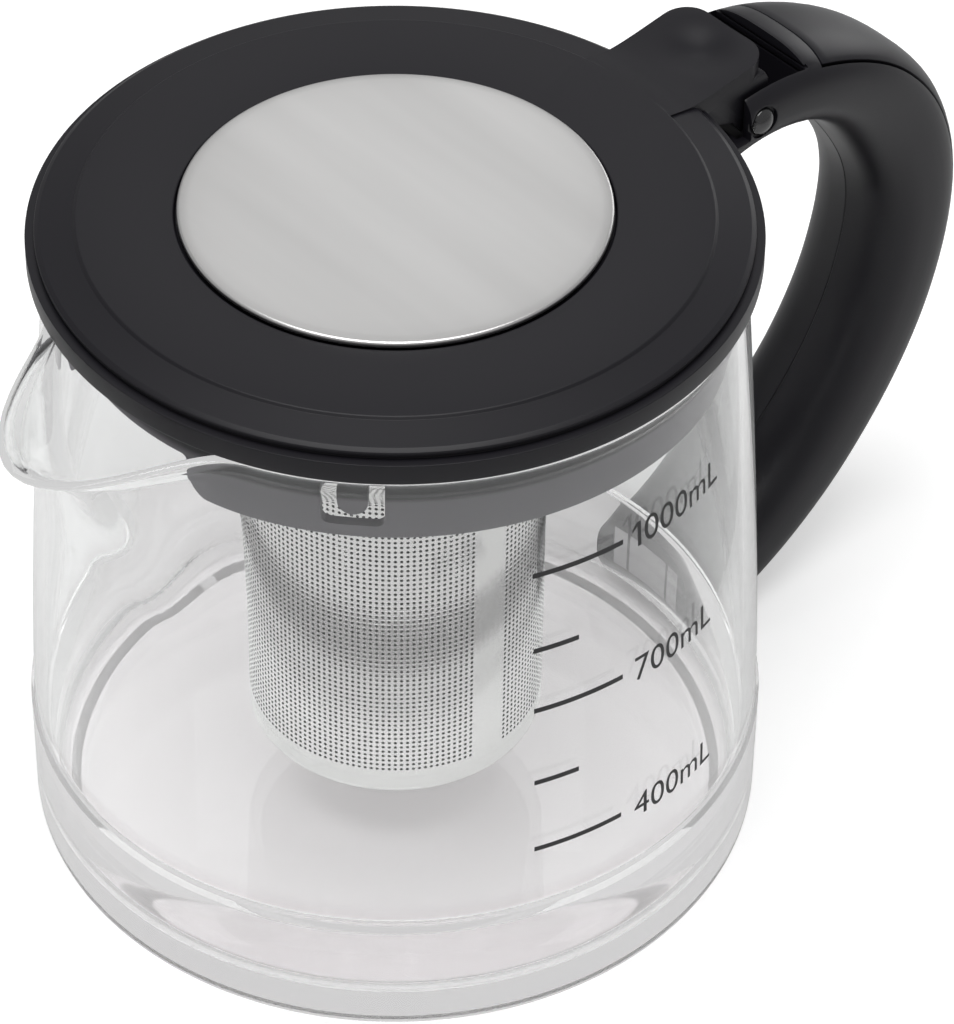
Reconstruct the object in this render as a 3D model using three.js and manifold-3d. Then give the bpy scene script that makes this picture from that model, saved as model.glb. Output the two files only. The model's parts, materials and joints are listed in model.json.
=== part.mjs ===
// Glass tea-maker jug: blown glass body with a spout, hinged lid, carrier ring, tea basket and bonded handle.
// Millimetres, +Z up. The origin is the centre of the flat underside, the handle is on +X, the spout on -X.
import * as THREE from 'three';
import { mergeVertices } from 'three/addons/utils/BufferGeometryUtils.js';
import Module from 'manifold-3d';

const wasm = await Module();
wasm.setup();

// Fits that all the pieces share
const seatGap = 0.3;
const runningGap = 0.5;
const overrun = 1;
const weldDistance = 0.0001;

// Jug glass
const jugHeight = 116.2;
const glassWall = 2.2;
const baseWall = 3.4;
const floorThickness = 5;
const baseRadius = 63.1;
const ledgeInset = 0.6;
const ledgeRise = 1.2;
const mouthInset = 5.9;
const heelRadius = 3.6;
const floorCornerRadius = 6;
const ledgeHeight = 24.7;
const ledgeDrop = 0.8;
const taperPower = 1.35;
const lipAngle = 30;
const spoutLength = 21;
const spoutDepth = 38;
const spoutDip = 4.4;
const spoutHalfAngle = THREE.MathUtils.degToRad(27);
const spoutWidthPower = 2.3;
const spoutDepthPower = 2;
const spoutDipPower = 1.6;
const jugSegments = 72;

// Carrier ring in the mouth
const ringFit = 0.4;
const ringWall = 1.8;
const ringDrop = 13;
const flangeThickness = 1.1;
const flangeInset = 0.2;
const deckThickness = 1.4;
const collarWall = 1.8;
const collarHeight = 8.6;
const spoutCutWidth = 31.6;
const spoutCutCorner = 5;
const spoutCutHeight = 7;
const spoutCutTurn = -4;
const windowWidth = 9.8;
const windowHeight = 8.6;
const windowCorner = 1.5;
const windowAngle = THREE.MathUtils.degToRad(42.8);
const tongueWidth = 4.7;
const tongueLength = 7.7;
const ringSegments = 48;

// Tea basket
const basketRadius = 25.4;
const basketSheet = 0.6;
const basketFloor = 18.4;
const cupHeight = 4.2;
const cupCorner = 2.6;
const hemHeight = 3.2;
const hemProud = 0.6;
const hemWall = 1.3;
const basketSegments = 40;

// Lid
const lidOverhang = 2.5;
const lidRimHeight = 4.3;
const lidEdgeFillet = 1.1;
const lidShell = 2.2;
const lidRimWidth = 3.6;
const discRise = 3.6;
const flatRise = 2.6;
const borderWidth = 8.8;
const stepWidth = 1.2;
const stepDrop = 1.2;
const discRadius = 34.9;
const discThickness = 1.4;
const discCrown = 0.5;
const discFit = 0.4;
const adhesiveInset = 4.9;
const adhesiveThickness = 0.4;
const plateThickness = 2.2;
const plateEdge = 1.8;
const plateFit = 0.6;
const plateChamfer = 1;
const plateScrewInset = 7.6;
const plateScrewCount = 4;
const lidSegments = 48;

// Hinge and thumb tab
const pinReach = 10.2;
const pinDrop = 2.4;
const pinRadius = 1.5;
const pinHeadRadius = 2.5;
const pinHeadHeight = 1.5;
const pinRecess = 0.9;
const barrelRadius = 3.4;
const barrelAngle = 120;
const lugWidth = 4.6;
const tabWidth = 20.6;
const tabOverhang = 3.7;
const tabRise = 4.2;
const tabThickness = 3.2;
const tabCorner = 5;
const pocketClearance = 0.75;
const pocketRoom = 7.6;
const pocketDepth = 5.1;
const roundSegments = 20;

// Handle
const gripStandoff = 61.6;
const gripThickness = 20;
const gripWidth = 23.4;
const cheekThickness = 2.15;
const headThickness = 15;
const footWidth = 26.4;
const footThickness = 18.4;
const headShare = 0.14;
const gripShare = 0.36;
const ankleShare = 0.68;
const seamReach = 27.9;
const seamDrop = 2.6;
const rootDepth = 2.3;
const handleWall = 3.2;
const sectionPower = 2.74;
const footBottom = 3;
const hollowStartShare = 0.19;
const hollowEndShare = 0.9;
const sweepStations = 28;
const sectionSteps = 22;
const coverSteps = 8;

// Handle cover
const coverStartShare = 0.155;
const coverEndShare = 0.93;
const coverWidthShare = 0.868;
const coverThickness = 2.2;
const coverScrewShare = 0.916;
const coverScrewSink = 1.2;
const coverScrewLength = 6;

// Head: open front, cheeks for the pin and a wall for the upper bracket
const cheekWall = 2.9;
const cheekDrop = 2.5;
const frontWallReach = 8.6;
const frontWallMargin = 0.7;
const frontWallRise = 2;

// Brackets that bond the handle to the glass
const padThickness = 0.6;
const bracketThickness = 2;
const upperBracketDrop = 7;
const upperBracketHeight = 5.2;
const upperBracketWidth = 10.6;
const upperScrewSpacing = 6;
const lowerBracketLow = 6.5;
const lowerBracketHeight = 9;
const lowerBracketWidth = 18;
const lowerScrewSpacing = 11;
const lowerHeadReach = 6.9;
const lowerSinkDepth = 6;

// Screws
const screwRadius = 1.1;
const screwHeadRadius = 2.2;
const screwHeadHeight = 1.2;
const screwLength = 6;
const screwFit = 0.35;
const screwSink = 0.2;

// Materials
const glassFinish = { color: 0xf2f6f5, roughness: 0.02, metalness: 0, transparent: true, opacity: 0.35 };
const plasticFinish = { color: 0x232326, roughness: 0.42, metalness: 0 };
const steelFinish = { color: 0xc6c4c2, roughness: 0.32, metalness: 1 };
const pinFinish = { color: 0x2a2a2c, roughness: 0.35, metalness: 0.6 };
const adhesiveFinish = { color: 0xdcd8cf, roughness: 0.8, metalness: 0 };

const part = new THREE.Group();
const jugGroup = new THREE.Group();
const handleGroup = new THREE.Group();
const lidGroup = new THREE.Group();
const infuserGroup = new THREE.Group();
part.add(jugGroup, handleGroup, lidGroup, infuserGroup);

// Geometry helpers

/** Welds a geometry's shared corners, drops empty triangles and turns its faces outwards. */
function weld(geometry) {
  const bare = new THREE.BufferGeometry();
  bare.setAttribute('position', geometry.getAttribute('position'));
  if (geometry.index) bare.setIndex(geometry.index);
  const merged = mergeVertices(bare, weldDistance);
  const kept = [];
  for (let i = 0; i < merged.index.count; i += 3) {
    const corner = [0, 1, 2].map((k) => merged.index.getX(i + k));
    if (new Set(corner).size === 3) kept.push(...corner);
  }
  merged.setIndex(kept);
  if (signedVolume(merged) < 0) {
    for (let i = 0; i < kept.length; i += 3) [kept[i], kept[i + 1]] = [kept[i + 1], kept[i]];
    merged.setIndex(kept);
  }
  return merged;
}

/** Volume inside a closed geometry, negative where its faces point inwards. */
function signedVolume(geometry) {
  const position = geometry.getAttribute('position');
  const corners = [new THREE.Vector3(), new THREE.Vector3(), new THREE.Vector3()];
  let volume = 0;
  for (let i = 0; i < geometry.index.count; i += 3) {
    corners.forEach((corner, k) => corner.fromBufferAttribute(position, geometry.index.getX(i + k)));
    volume += corners[0].dot(corners[1].cross(corners[2])) / 6;
  }
  return volume;
}

/** A manifold solid from a closed geometry. */
function solid(geometry) {
  const welded = weld(geometry);
  const vertProperties = new Float32Array(welded.getAttribute('position').array);
  const triVerts = new Uint32Array(welded.index.array);
  return new wasm.Manifold(new wasm.Mesh({ numProp: 3, vertProperties, triVerts }));
}

/** A geometry from a manifold solid. */
function surface(body) {
  const mesh = body.getMesh();
  const geometry = new THREE.BufferGeometry();
  geometry.setAttribute('position', new THREE.BufferAttribute(new Float32Array(mesh.vertProperties), 3));
  geometry.setIndex(new THREE.BufferAttribute(new Uint32Array(mesh.triVerts), 1));
  return geometry;
}

/** Turns an outline of [radius, height] points about the Z axis. */
function lathe(outline, segments) {
  const points = outline.map(([radius, height]) => new THREE.Vector2(radius, height));
  return weld(new THREE.LatheGeometry(points, segments).rotateX(Math.PI / 2));
}

/** A closed lathe outline: the last point meets the first. */
function closedOutline(points) {
  return [...points, points[0]];
}

/** Extrudes an outline of [x, z] points to a width about the XZ plane. */
function sidePrism(outline, width, bevel = 0) {
  const shape = new THREE.Shape(outline.map(([x, z]) => new THREE.Vector2(x, z)));
  const depth = width - 2 * bevel;
  const options = { depth, bevelEnabled: bevel > 0, bevelSize: bevel, bevelThickness: bevel, bevelOffset: -bevel,
    bevelSegments: 2, curveSegments: roundSegments };
  return new THREE.ExtrudeGeometry(shape, options).translate(0, 0, -depth / 2).rotateX(Math.PI / 2);
}

/** Extrudes a shape drawn in the XY plane between two heights. */
function plate(shape, bottom, top) {
  const options = { depth: top - bottom, bevelEnabled: false, curveSegments: roundSegments };
  return new THREE.ExtrudeGeometry(shape, options).translate(0, 0, bottom);
}

/** Extrudes an outline of [y, z] points along X between two places. */
function frontPrism(shape, start, end) {
  const options = { depth: end - start, bevelEnabled: false, curveSegments: roundSegments };
  const geometry = new THREE.ExtrudeGeometry(shape, options).translate(0, 0, start);
  return geometry.applyMatrix4(new THREE.Matrix4().set(0, 0, 1, 0, 1, 0, 0, 0, 0, 1, 0, 0, 0, 0, 0, 1));
}

/** A box between two corners. */
function block(low, high) {
  const size = high.map((value, k) => value - low[k]);
  const middle = high.map((value, k) => (value + low[k]) / 2);
  return new THREE.BoxGeometry(...size).translate(...middle);
}

/** A cylinder between two heights, with its axis at a place in plan. */
function post(radius, bottom, top, x = 0, y = 0, segments = roundSegments) {
  const height = top - bottom;
  const geometry = new THREE.CylinderGeometry(radius, radius, height, segments).rotateX(Math.PI / 2);
  return geometry.translate(x, y, bottom + height / 2);
}

/** A cylinder along Y through the hinge axis. */
function hingeRod(radius, halfLength, segments = roundSegments) {
  return new THREE.CylinderGeometry(radius, radius, 2 * halfLength, segments).translate(pinX, 0, pinHeight);
}

/** Points of an arc about a centre, from one angle to another in degrees. */
function arc(centreX, centreY, radius, from, to, steps) {
  const points = [];
  for (let i = 0; i <= steps; i += 1) {
    const angle = THREE.MathUtils.degToRad(from + ((to - from) * i) / steps);
    points.push([centreX + radius * Math.cos(angle), centreY + radius * Math.sin(angle)]);
  }
  return points;
}

/** Adds a named mesh with its own material to a group. */
function addPiece(group, name, geometry, finish) {
  const mesh = new THREE.Mesh(geometry, new THREE.MeshStandardMaterial(finish));
  mesh.name = name;
  group.add(mesh);
  return mesh;
}

// Jug glass

const wallRadius = baseRadius - ledgeInset;
const mouthRadius = wallRadius - mouthInset;
const spoutReach = mouthRadius + spoutLength;

/** Outer radius of the jug at a height, away from the spout: the base, a small shoulder and the tapering wall. */
function jugRadius(height) {
  const shoulder = THREE.MathUtils.clamp((height - ledgeHeight + ledgeRise) / ledgeRise, 0, 1);
  const rise = Math.max(0, (height - ledgeHeight) / (jugHeight - ledgeHeight));
  return baseRadius - ledgeInset * shoulder - (wallRadius - mouthRadius) * rise ** taperPower;
}

/** Outline of the jug's outside above the heel, at an offset from the glass. */
function jugWallOutline(offset, bottom, top, steps) {
  const points = [];
  for (let i = 0; i <= steps; i += 1) {
    const height = bottom + ((top - bottom) * i) / steps;
    points.push([jugRadius(height) + offset, height]);
  }
  return points;
}

/** Pulls the mouth out into the spout: returns the moved place of a point of the glass. */
function pullSpout(point) {
  const fromTip = Math.abs(Math.atan2(point.y, -point.x));
  const depth = Math.max(0, (point.z - (jugHeight - spoutDepth)) / spoutDepth);
  if (fromTip >= spoutHalfAngle || depth === 0) return point;
  const width = Math.cos((fromTip / spoutHalfAngle) * (Math.PI / 2)) ** spoutWidthPower;
  const pull = width * depth ** spoutDepthPower;
  const radius = Math.hypot(point.x, point.y);
  const moved = radius + (spoutReach - mouthRadius) * pull;
  return point.set((point.x * moved) / radius, (point.y * moved) / radius, point.z - spoutDip * pull ** spoutDipPower);
}

/** The glass body: outside wall, rounded lip, inside wall, ledge and floor in one closed outline. */
function jugGlass() {
  const wallSteps = 8;
  const lip = glassWall / 2;
  const lipHeight = jugHeight - lip;
  const outside = jugWallOutline(0, ledgeHeight, lipHeight, wallSteps);
  const inside = jugWallOutline(-glassWall, ledgeHeight, lipHeight, wallSteps).reverse();
  const baseInner = baseRadius - baseWall;
  const outline = [
    [0, 0],
    ...arc(baseRadius - heelRadius, heelRadius, heelRadius, -90, 0, 4),
    [baseRadius, ledgeHeight - ledgeRise],
    ...outside,
    ...arc(jugRadius(lipHeight) - lip, lipHeight, lip, lipAngle, 180 - lipAngle, 3),
    ...inside,
    [baseInner, ledgeHeight - ledgeDrop],
    ...arc(baseInner - floorCornerRadius, floorThickness + floorCornerRadius, floorCornerRadius, 0, -90, 4),
    [0, floorThickness],
  ];
  const geometry = lathe(outline, jugSegments);
  const position = geometry.getAttribute('position');
  const point = new THREE.Vector3();
  for (let i = 0; i < position.count; i += 1) {
    pullSpout(point.fromBufferAttribute(position, i));
    position.setXYZ(i, point.x, point.y, point.z);
  }
  return geometry;
}

addPiece(jugGroup, 'jug_glass', jugGlass(), glassFinish);

// Carrier ring

const ringRadius = mouthRadius - glassWall - ringFit;
const ringInner = ringRadius - ringWall;
const ringBottom = jugHeight - ringDrop;
const flangeBottom = jugHeight + seatGap;
const flangeTop = flangeBottom + flangeThickness;
const flangeRadius = mouthRadius - flangeInset;
const deckTop = flangeTop - plateFit - flangeThickness + seatGap;
const deckBottom = deckTop - deckThickness;
const collarInner = basketRadius + hemProud + seatGap;
const collarBottom = deckBottom - collarHeight;
const stopInner = basketRadius - seatGap;

/** Cutter for the notch in front of the spout, with the ring's lower corners rounded. */
function spoutCutter() {
  const half = spoutCutWidth / 2;
  const top = ringBottom + spoutCutHeight;
  const bottom = ringBottom - overrun;
  const right = arc(half + spoutCutCorner, ringBottom + spoutCutCorner, spoutCutCorner, 180, 270, 5);
  const left = right.map(([y, z]) => [-y, z]).reverse();
  const last = half + spoutCutCorner;
  const outline = [[half, top], ...right, [last, bottom], [-last, bottom], ...left, [-half, top]];
  const shape = new THREE.Shape(outline.map(([y, z]) => new THREE.Vector2(y, z)));
  const slab = solid(frontPrism(shape, -flangeRadius - overrun, 0));
  const keep = solid(post(ringInner - overrun, bottom - overrun, top + overrun, 0, 0, ringSegments));
  return slab.subtract(keep).rotate([0, 0, spoutCutTurn]);
}

/** Cutter for one snap window, with its hanging tongue left standing, before it is turned to its place. */
function windowCutter() {
  const half = windowWidth / 2 - windowCorner;
  const top = deckBottom - seatGap;
  const bottom = top - windowHeight;
  const lower = bottom + windowCorner;
  const outline = [
    ...arc(half, lower, windowCorner, 0, -90, 3),
    ...arc(-half, lower, windowCorner, -90, -180, 3),
    [-windowWidth / 2, top],
    [windowWidth / 2, top],
  ];
  const radius = tongueWidth / 2;
  const tongueEnd = top - tongueLength + radius;
  const tongue = [[radius, top + overrun], ...arc(0, tongueEnd, radius, 0, -180, 8), [-radius, top + overrun]];
  const start = ringInner - overrun;
  const shapes = [outline, tongue].map((points) => new THREE.Shape(points.map(([y, z]) => new THREE.Vector2(y, z))));
  const opening = solid(frontPrism(shapes[0], start, ringRadius + overrun));
  const kept = solid(frontPrism(shapes[1], start - overrun, ringRadius + 2 * overrun));
  return opening.subtract(kept);
}

/** The ring: skirt inside the glass, flange on its lip, deck and the collar that takes the basket. */
function carrierRing() {
  const outline = closedOutline([
    [ringRadius, ringBottom],
    [ringRadius, flangeBottom],
    [flangeRadius, flangeBottom],
    [flangeRadius, flangeTop],
    [ringInner, flangeTop],
    [ringInner, deckTop],
    [stopInner, deckTop],
    [stopInner, deckBottom],
    [collarInner, deckBottom],
    [collarInner, collarBottom],
    [collarInner + collarWall, collarBottom],
    [collarInner + collarWall, deckBottom],
    [ringInner, deckBottom],
    [ringInner, ringBottom],
  ]);
  const turnDegrees = THREE.MathUtils.radToDeg(windowAngle);
  return surface(
    solid(lathe(outline, ringSegments))
      .subtract(spoutCutter())
      .subtract(windowCutter().rotate([0, 0, turnDegrees]))
      .subtract(windowCutter().rotate([0, 0, turnDegrees + 180])),
  );
}

addPiece(infuserGroup, 'infuser_ring', carrierRing(), plasticFinish);

// Tea basket

const hemTop = deckBottom - seatGap;
const hemBottom = hemTop - hemHeight;
const wallTop = hemBottom - seatGap;
const wallBottom = basketFloor + cupHeight + seatGap;
const basketInner = basketRadius - basketSheet;

const basketWall = lathe(closedOutline([
  [basketRadius, wallBottom],
  [basketRadius, wallTop],
  [basketInner, wallTop],
  [basketInner, wallBottom],
]), basketSegments);
addPiece(infuserGroup, 'basket_wall', basketWall, steelFinish);

const basketHem = lathe(closedOutline([
  [basketRadius + hemProud, hemBottom],
  [basketRadius + hemProud, hemTop],
  [basketRadius + hemProud - hemWall, hemTop],
  [basketRadius + hemProud - hemWall, hemBottom],
]), basketSegments);
addPiece(infuserGroup, 'basket_hem', basketHem, steelFinish);

const cupTop = basketFloor + cupHeight;
const basketBottom = lathe([
  [0, basketFloor],
  ...arc(basketRadius - cupCorner, basketFloor + cupCorner, cupCorner, -90, 0, 4),
  [basketRadius, cupTop],
  [basketInner, cupTop],
  ...arc(basketRadius - cupCorner, basketFloor + cupCorner, cupCorner - basketSheet, 0, -90, 4),
  [0, basketFloor + basketSheet],
], basketSegments);
addPiece(infuserGroup, 'basket_bottom', basketBottom, steelFinish);

// Lid

const lidRadius = mouthRadius + lidOverhang;
const flatRadius = lidRadius - borderWidth;
const adhesiveRadius = discRadius - adhesiveInset;
const lidBottom = flangeTop + seatGap;
const lidShoulder = lidBottom + lidRimHeight;
const recessRadius = discRadius + discFit;
const domeEdge = lidRadius - lidEdgeFillet;
const discTop = lidShoulder + discRise;
const flatHeight = lidShoulder + flatRise;
const recessFloor = discTop - discThickness - adhesiveThickness - 2 * seatGap + discCrown / 2;
const plateBottom = deckTop + seatGap;
const plateTop = plateBottom + plateThickness;
const plateRadius = ringInner - plateFit;
const plateScrewRadius = plateRadius - plateScrewInset;
const lidRimInner = lidRadius - lidRimWidth;
const pinX = lidRadius + pinReach;
const pinHeight = lidBottom - pinDrop;
const tabEnd = pinX + tabOverhang;

/** Height of the lid's top outside the disc: a flat band, a small step down and a gently sloping border. */
function topHeight(radius) {
  const past = Math.max(0, radius - flatRadius);
  const step = stepDrop * Math.min(1, past / stepWidth);
  const border = Math.max(0, past - stepWidth) / (domeEdge - flatRadius - stepWidth);
  return flatHeight - step - (flatRise - stepDrop) * border;
}

/** Outline of the lid's top between two radii, lowered by a depth. */
function topOutline(from, to, lowered) {
  const middle = [flatRadius, flatRadius + stepWidth].filter((radius) => radius > from && radius < to);
  return [from, ...middle, to].map((radius) => [radius, topHeight(radius) - lowered]);
}

/** Side outline of the thumb tab with its underside, in [x, z]. */
function tabOutline() {
  const root = flatRadius - stepWidth;
  const top = lidShoulder + tabRise;
  const nose = tabThickness / 2;
  const waist = (lidRadius + flatRadius) / 2;
  return [
    [root, flatHeight - tabThickness],
    [root, flatHeight - seatGap / 2],
    [waist, flatHeight - stepDrop / 2],
    [(lidRadius + tabEnd) / 2, lidShoulder + tabRise / 2],
    [tabEnd - nose, top - seatGap],
    [tabEnd - nose / 2, top],
    [tabEnd, top - nose / 2],
    [tabEnd, top - tabThickness],
    [(lidRadius + tabEnd) / 2, lidShoulder + tabRise / 2 - tabThickness],
    [lidRadius, lidShoulder + tabRise / 8 - tabThickness],
  ];
}

/** Plan of the thumb tab, with rounded outer corners. */
function tabPlan() {
  const half = tabWidth / 2;
  const corner = tabEnd - tabCorner;
  const points = [
    [0, -half],
    ...arc(corner, -half + tabCorner, tabCorner, -90, 0, 5),
    ...arc(corner, half - tabCorner, tabCorner, 0, 90, 5),
    [0, half],
  ];
  return new THREE.Shape(points.map(([x, y]) => new THREE.Vector2(x, y)));
}

/** One hinge lug: an arm from the rim to the barrel round the pin, on one side. */
function hingeLug(side) {
  const armRoot = lidRadius - lidEdgeFillet;
  const barrel = arc(pinX, pinHeight, barrelRadius, -barrelAngle, 0, 8);
  const outline = [
    [armRoot, lidBottom + seatGap],
    [pinX - 1.5 * barrelRadius, pinHeight + seatGap],
    ...barrel,
    [pinX + 0.8 * barrelRadius, lidShoulder + tabRise / 2 - seatGap],
    [armRoot, lidShoulder - seatGap],
  ];
  const outer = tabWidth / 2;
  const middle = side * (outer - lugWidth / 2);
  return solid(sidePrism(outline, lugWidth).translate(0, middle, 0));
}

/** Place in plan of a lid screw. */
function lidScrewPlace(index) {
  const angle = ((index + 0.5) / plateScrewCount) * 2 * Math.PI;
  return [plateScrewRadius * Math.cos(angle), plateScrewRadius * Math.sin(angle)];
}

/** The lid's outer shell with its thumb tab, hinge lugs and screw bosses. */
function lidCover() {
  const outline = [
    [0, recessFloor],
    [recessRadius, recessFloor],
    ...topOutline(recessRadius, domeEdge, 0),
    [(domeEdge + lidRadius) / 2, lidShoulder - lidEdgeFillet / 3],
    [lidRadius, lidShoulder - lidEdgeFillet],
    [lidRadius, lidBottom],
    [lidRimInner, lidBottom],
    ...topOutline(recessRadius + lidShell, lidRimInner, lidShell).reverse(),
    [recessRadius - lidShell / 2, recessFloor - lidShell],
    [0, recessFloor - lidShell],
  ];
  const tabTop = discTop + tabRise + overrun;
  const tab = solid(sidePrism(tabOutline(), tabWidth + overrun)).intersect(solid(plate(tabPlan(), 0, tabTop)));
  let shell = solid(lathe(outline, lidSegments)).add(tab).add(hingeLug(-1)).add(hingeLug(1));
  for (let i = 0; i < plateScrewCount; i += 1) {
    const [x, y] = lidScrewPlace(i);
    const bossTop = topHeight(plateScrewRadius) - lidShell / 2;
    shell = shell.add(solid(post(2 * screwHeadRadius, plateTop + seatGap, bossTop, x, y, 16)));
    const holeTop = plateTop + screwLength;
    shell = shell.subtract(solid(post(screwRadius + screwFit, plateTop, holeTop - lidShell, x, y, 12)));
  }
  return surface(shell.subtract(solid(hingeRod(pinRadius + seatGap, tabWidth))));
}

/** The dish that closes the lid's underside, with countersunk screw holes. */
function lidUnderplate() {
  const inner = plateRadius - plateEdge;
  const outline = [
    [0, plateBottom],
    [plateRadius - plateChamfer, plateBottom],
    [plateRadius, plateBottom + plateChamfer],
    [plateRadius, topHeight(plateRadius) - lidShell - seatGap],
    [inner, topHeight(plateRadius) - lidShell - seatGap],
    [inner, plateTop],
    [0, plateTop],
  ];
  let dish = solid(lathe(outline, lidSegments));
  for (let i = 0; i < plateScrewCount; i += 1) {
    const [x, y] = lidScrewPlace(i);
    const sinkTop = plateBottom + screwHeadHeight + screwSink;
    dish = dish.subtract(solid(post(screwHeadRadius + screwFit, plateBottom - overrun, sinkTop, x, y, 16)));
    dish = dish.subtract(solid(post(screwRadius + screwFit, plateBottom, plateTop + overrun, x, y, 12)));
  }
  return surface(dish);
}

addPiece(lidGroup, 'lid_cover', lidCover(), plasticFinish);
addPiece(lidGroup, 'lid_underplate', lidUnderplate(), plasticFinish);

const adhesiveBottom = recessFloor + seatGap;
const discBottom = adhesiveBottom + adhesiveThickness + seatGap;
const disc = lathe([
  [0, discBottom],
  [discRadius, discBottom],
  [discRadius, discBottom + discThickness - discCrown],
  [discRadius * 0.985, discBottom + discThickness - discCrown / 2],
  [discRadius / 2, discBottom + discThickness - discCrown / 4],
  [0, discBottom + discThickness],
], lidSegments);
addPiece(lidGroup, 'lid_disc', disc, steelFinish);
addPiece(lidGroup, 'disc_adhesive', weld(post(adhesiveRadius, adhesiveBottom, adhesiveBottom + adhesiveThickness, 0, 0,
  basketSegments)), adhesiveFinish);

/** A screw along +Z with its head at the bottom, from a head height. */
function screw(headBottom, length) {
  const neck = headBottom + screwHeadHeight;
  return lathe([
    [0, headBottom],
    [screwHeadRadius, headBottom],
    [screwHeadRadius, neck],
    [screwRadius, neck],
    [screwRadius, neck + length],
    [0, neck + length],
  ], 12);
}

for (let i = 0; i < plateScrewCount; i += 1) {
  const [x, y] = lidScrewPlace(i);
  const headBottom = plateBottom + screwSink / 2;
  const reach = plateTop + screwLength - lidShell - runningGap - headBottom - screwHeadHeight;
  addPiece(lidGroup, `lid_screw_${i + 1}`, screw(headBottom, reach), steelFinish).position.set(x, y, 0);
}

// Handle

const gripReach = baseRadius + gripStandoff;
const centreReach = gripReach - gripThickness / 2;
const seamX = mouthRadius + seamReach;
const seamHeight = jugHeight - seamDrop;
const rootX = mouthRadius - rootDepth;
const headWidth = tabWidth + 2 * (pocketClearance + cheekThickness);
const pocketEnd = tabEnd + pocketRoom;
const pocketFloor = pinHeight - pocketDepth;
const cheekFront = pinX - cheekWall;
const cheekFloor = pinHeight - cheekDrop;
const frontWallX = mouthRadius + frontWallReach;
const frontWallHalf = upperBracketWidth / 2 + frontWallMargin;
const frontWallTop = cheekFloor + frontWallRise;
const upperBracketLow = jugHeight - upperBracketDrop;
const lowerHeadX = baseRadius + lowerHeadReach;
const lowerSinkEnd = lowerHeadX + lowerSinkDepth;
// Places of the handle's centre line, as shares of its reach from the seam, outwards or back to its root, and of
// the seam's height
const centreLineShares = [
  [-0.944, 0.986],
  [-0.811, 0.999],
  [-0.54, 1.016],
  [-0.268, 1.016],
  [0, 1],
  [0.252, 0.969],
  [0.483, 0.926],
  [0.679, 0.872],
  [0.838, 0.812],
  [0.947, 0.745],
  [1, 0.673],
  [0.997, 0.599],
  [0.95, 0.526],
  [0.871, 0.456],
  [0.758, 0.389],
  [0.616, 0.326],
  [0.447, 0.268],
  [0.255, 0.215],
  [0.036, 0.169],
  [-0.199, 0.13],
  [-0.45, 0.099],
  [-0.679, 0.079],
  [-0.861, 0.069],
];
const centreLine = new THREE.CatmullRomCurve3(centreLineShares.map(([reachShare, heightShare]) => {
  const reach = reachShare > 0 ? centreReach - seamX : seamX - rootX;
  return new THREE.Vector3(seamX + reach * reachShare, 0, seamHeight * heightShare);
}));
const coverGapShare = seatGap / centreLine.getLength();

/** A value that goes from the head's to the grip's to the foot's along the handle. */
function along(place, head, grip, foot) {
  const toGrip = THREE.MathUtils.smoothstep(place, headShare, gripShare);
  const toFoot = THREE.MathUtils.smoothstep(place, ankleShare, 1);
  return head + (grip - head) * toGrip + (foot - grip) * toFoot;
}

/** Half thickness and half width of the handle at a place. */
function halfSize(place) {
  return [along(place, headThickness, gripThickness, footThickness) / 2,
    along(place, headWidth, gripWidth, footWidth) / 2];
}

/** The handle's centre, outward and inward directions at a place. */
function frameAt(place) {
  const centre = centreLine.getPointAt(Math.min(1, Math.max(0, place)));
  const tangent = centreLine.getTangentAt(Math.min(1, Math.max(0, place)));
  const outwards = new THREE.Vector3(-tangent.z, 0, tangent.x);
  return { centre, outwards, inwards: outwards.clone().negate() };
}

/** Point of the handle's rounded section at an angle from its outer side, [outwards, sideways]. */
function sectionPoint(angle, halfThickness, halfWidth) {
  const cosine = Math.cos(angle);
  const sine = Math.sin(angle);
  const power = 2 / sectionPower;
  return [
    halfThickness * Math.sign(cosine) * Math.abs(cosine) ** power,
    halfWidth * Math.sign(sine) * Math.abs(sine) ** power,
  ];
}

/** Angle at which the section reaches a sideways share of its half width, on the outer side. */
function angleAtShare(share) {
  return Math.asin(share ** (sectionPower / 2));
}

/** Height of the cover's flat inner side above the centre line. */
function coverLevel(halfThickness, halfWidth) {
  return sectionPoint(angleAtShare(coverWidthShare), halfThickness, halfWidth)[0] - coverThickness;
}

/** Joins rings of points into one closed body. Each ring runs out along one face and back along the other. */
function loft(rings) {
  const count = rings[0].length;
  const positions = rings.flat().flatMap((point) => point.toArray());
  const index = [];
  for (let r = 0; r < rings.length - 1; r += 1) {
    for (let i = 0; i < count; i += 1) {
      const a = r * count + i;
      const b = r * count + ((i + 1) % count);
      index.push(a, b, a + count, b, b + count, a + count);
    }
  }
  const last = (rings.length - 1) * count;
  for (let i = 0; i < count / 2 - 1; i += 1) {
    const [a, b, c, d] = [i, i + 1, count - 2 - i, count - 1 - i];
    index.push(a, c, b, a, d, c, last + a, last + b, last + c, last + a, last + c, last + d);
  }
  const geometry = new THREE.BufferGeometry();
  geometry.setAttribute('position', new THREE.Float32BufferAttribute(positions, 3));
  geometry.setIndex(index);
  return geometry;
}

/** Sweeps a section along part of the handle; the section is a function of half thickness and half width. */
function sweep(from, to, section) {
  const rings = [];
  const stations = Math.ceil(sweepStations * (to - from));
  for (let s = 0; s <= stations; s += 1) {
    const place = from + ((to - from) * s) / stations;
    const { centre, outwards } = frameAt(place);
    rings.push(section(...halfSize(place)).map(([out, side]) => centre.clone()
      .addScaledVector(outwards, out)
      .add(new THREE.Vector3(0, side, 0))));
  }
  return solid(loft(rings));
}

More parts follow.
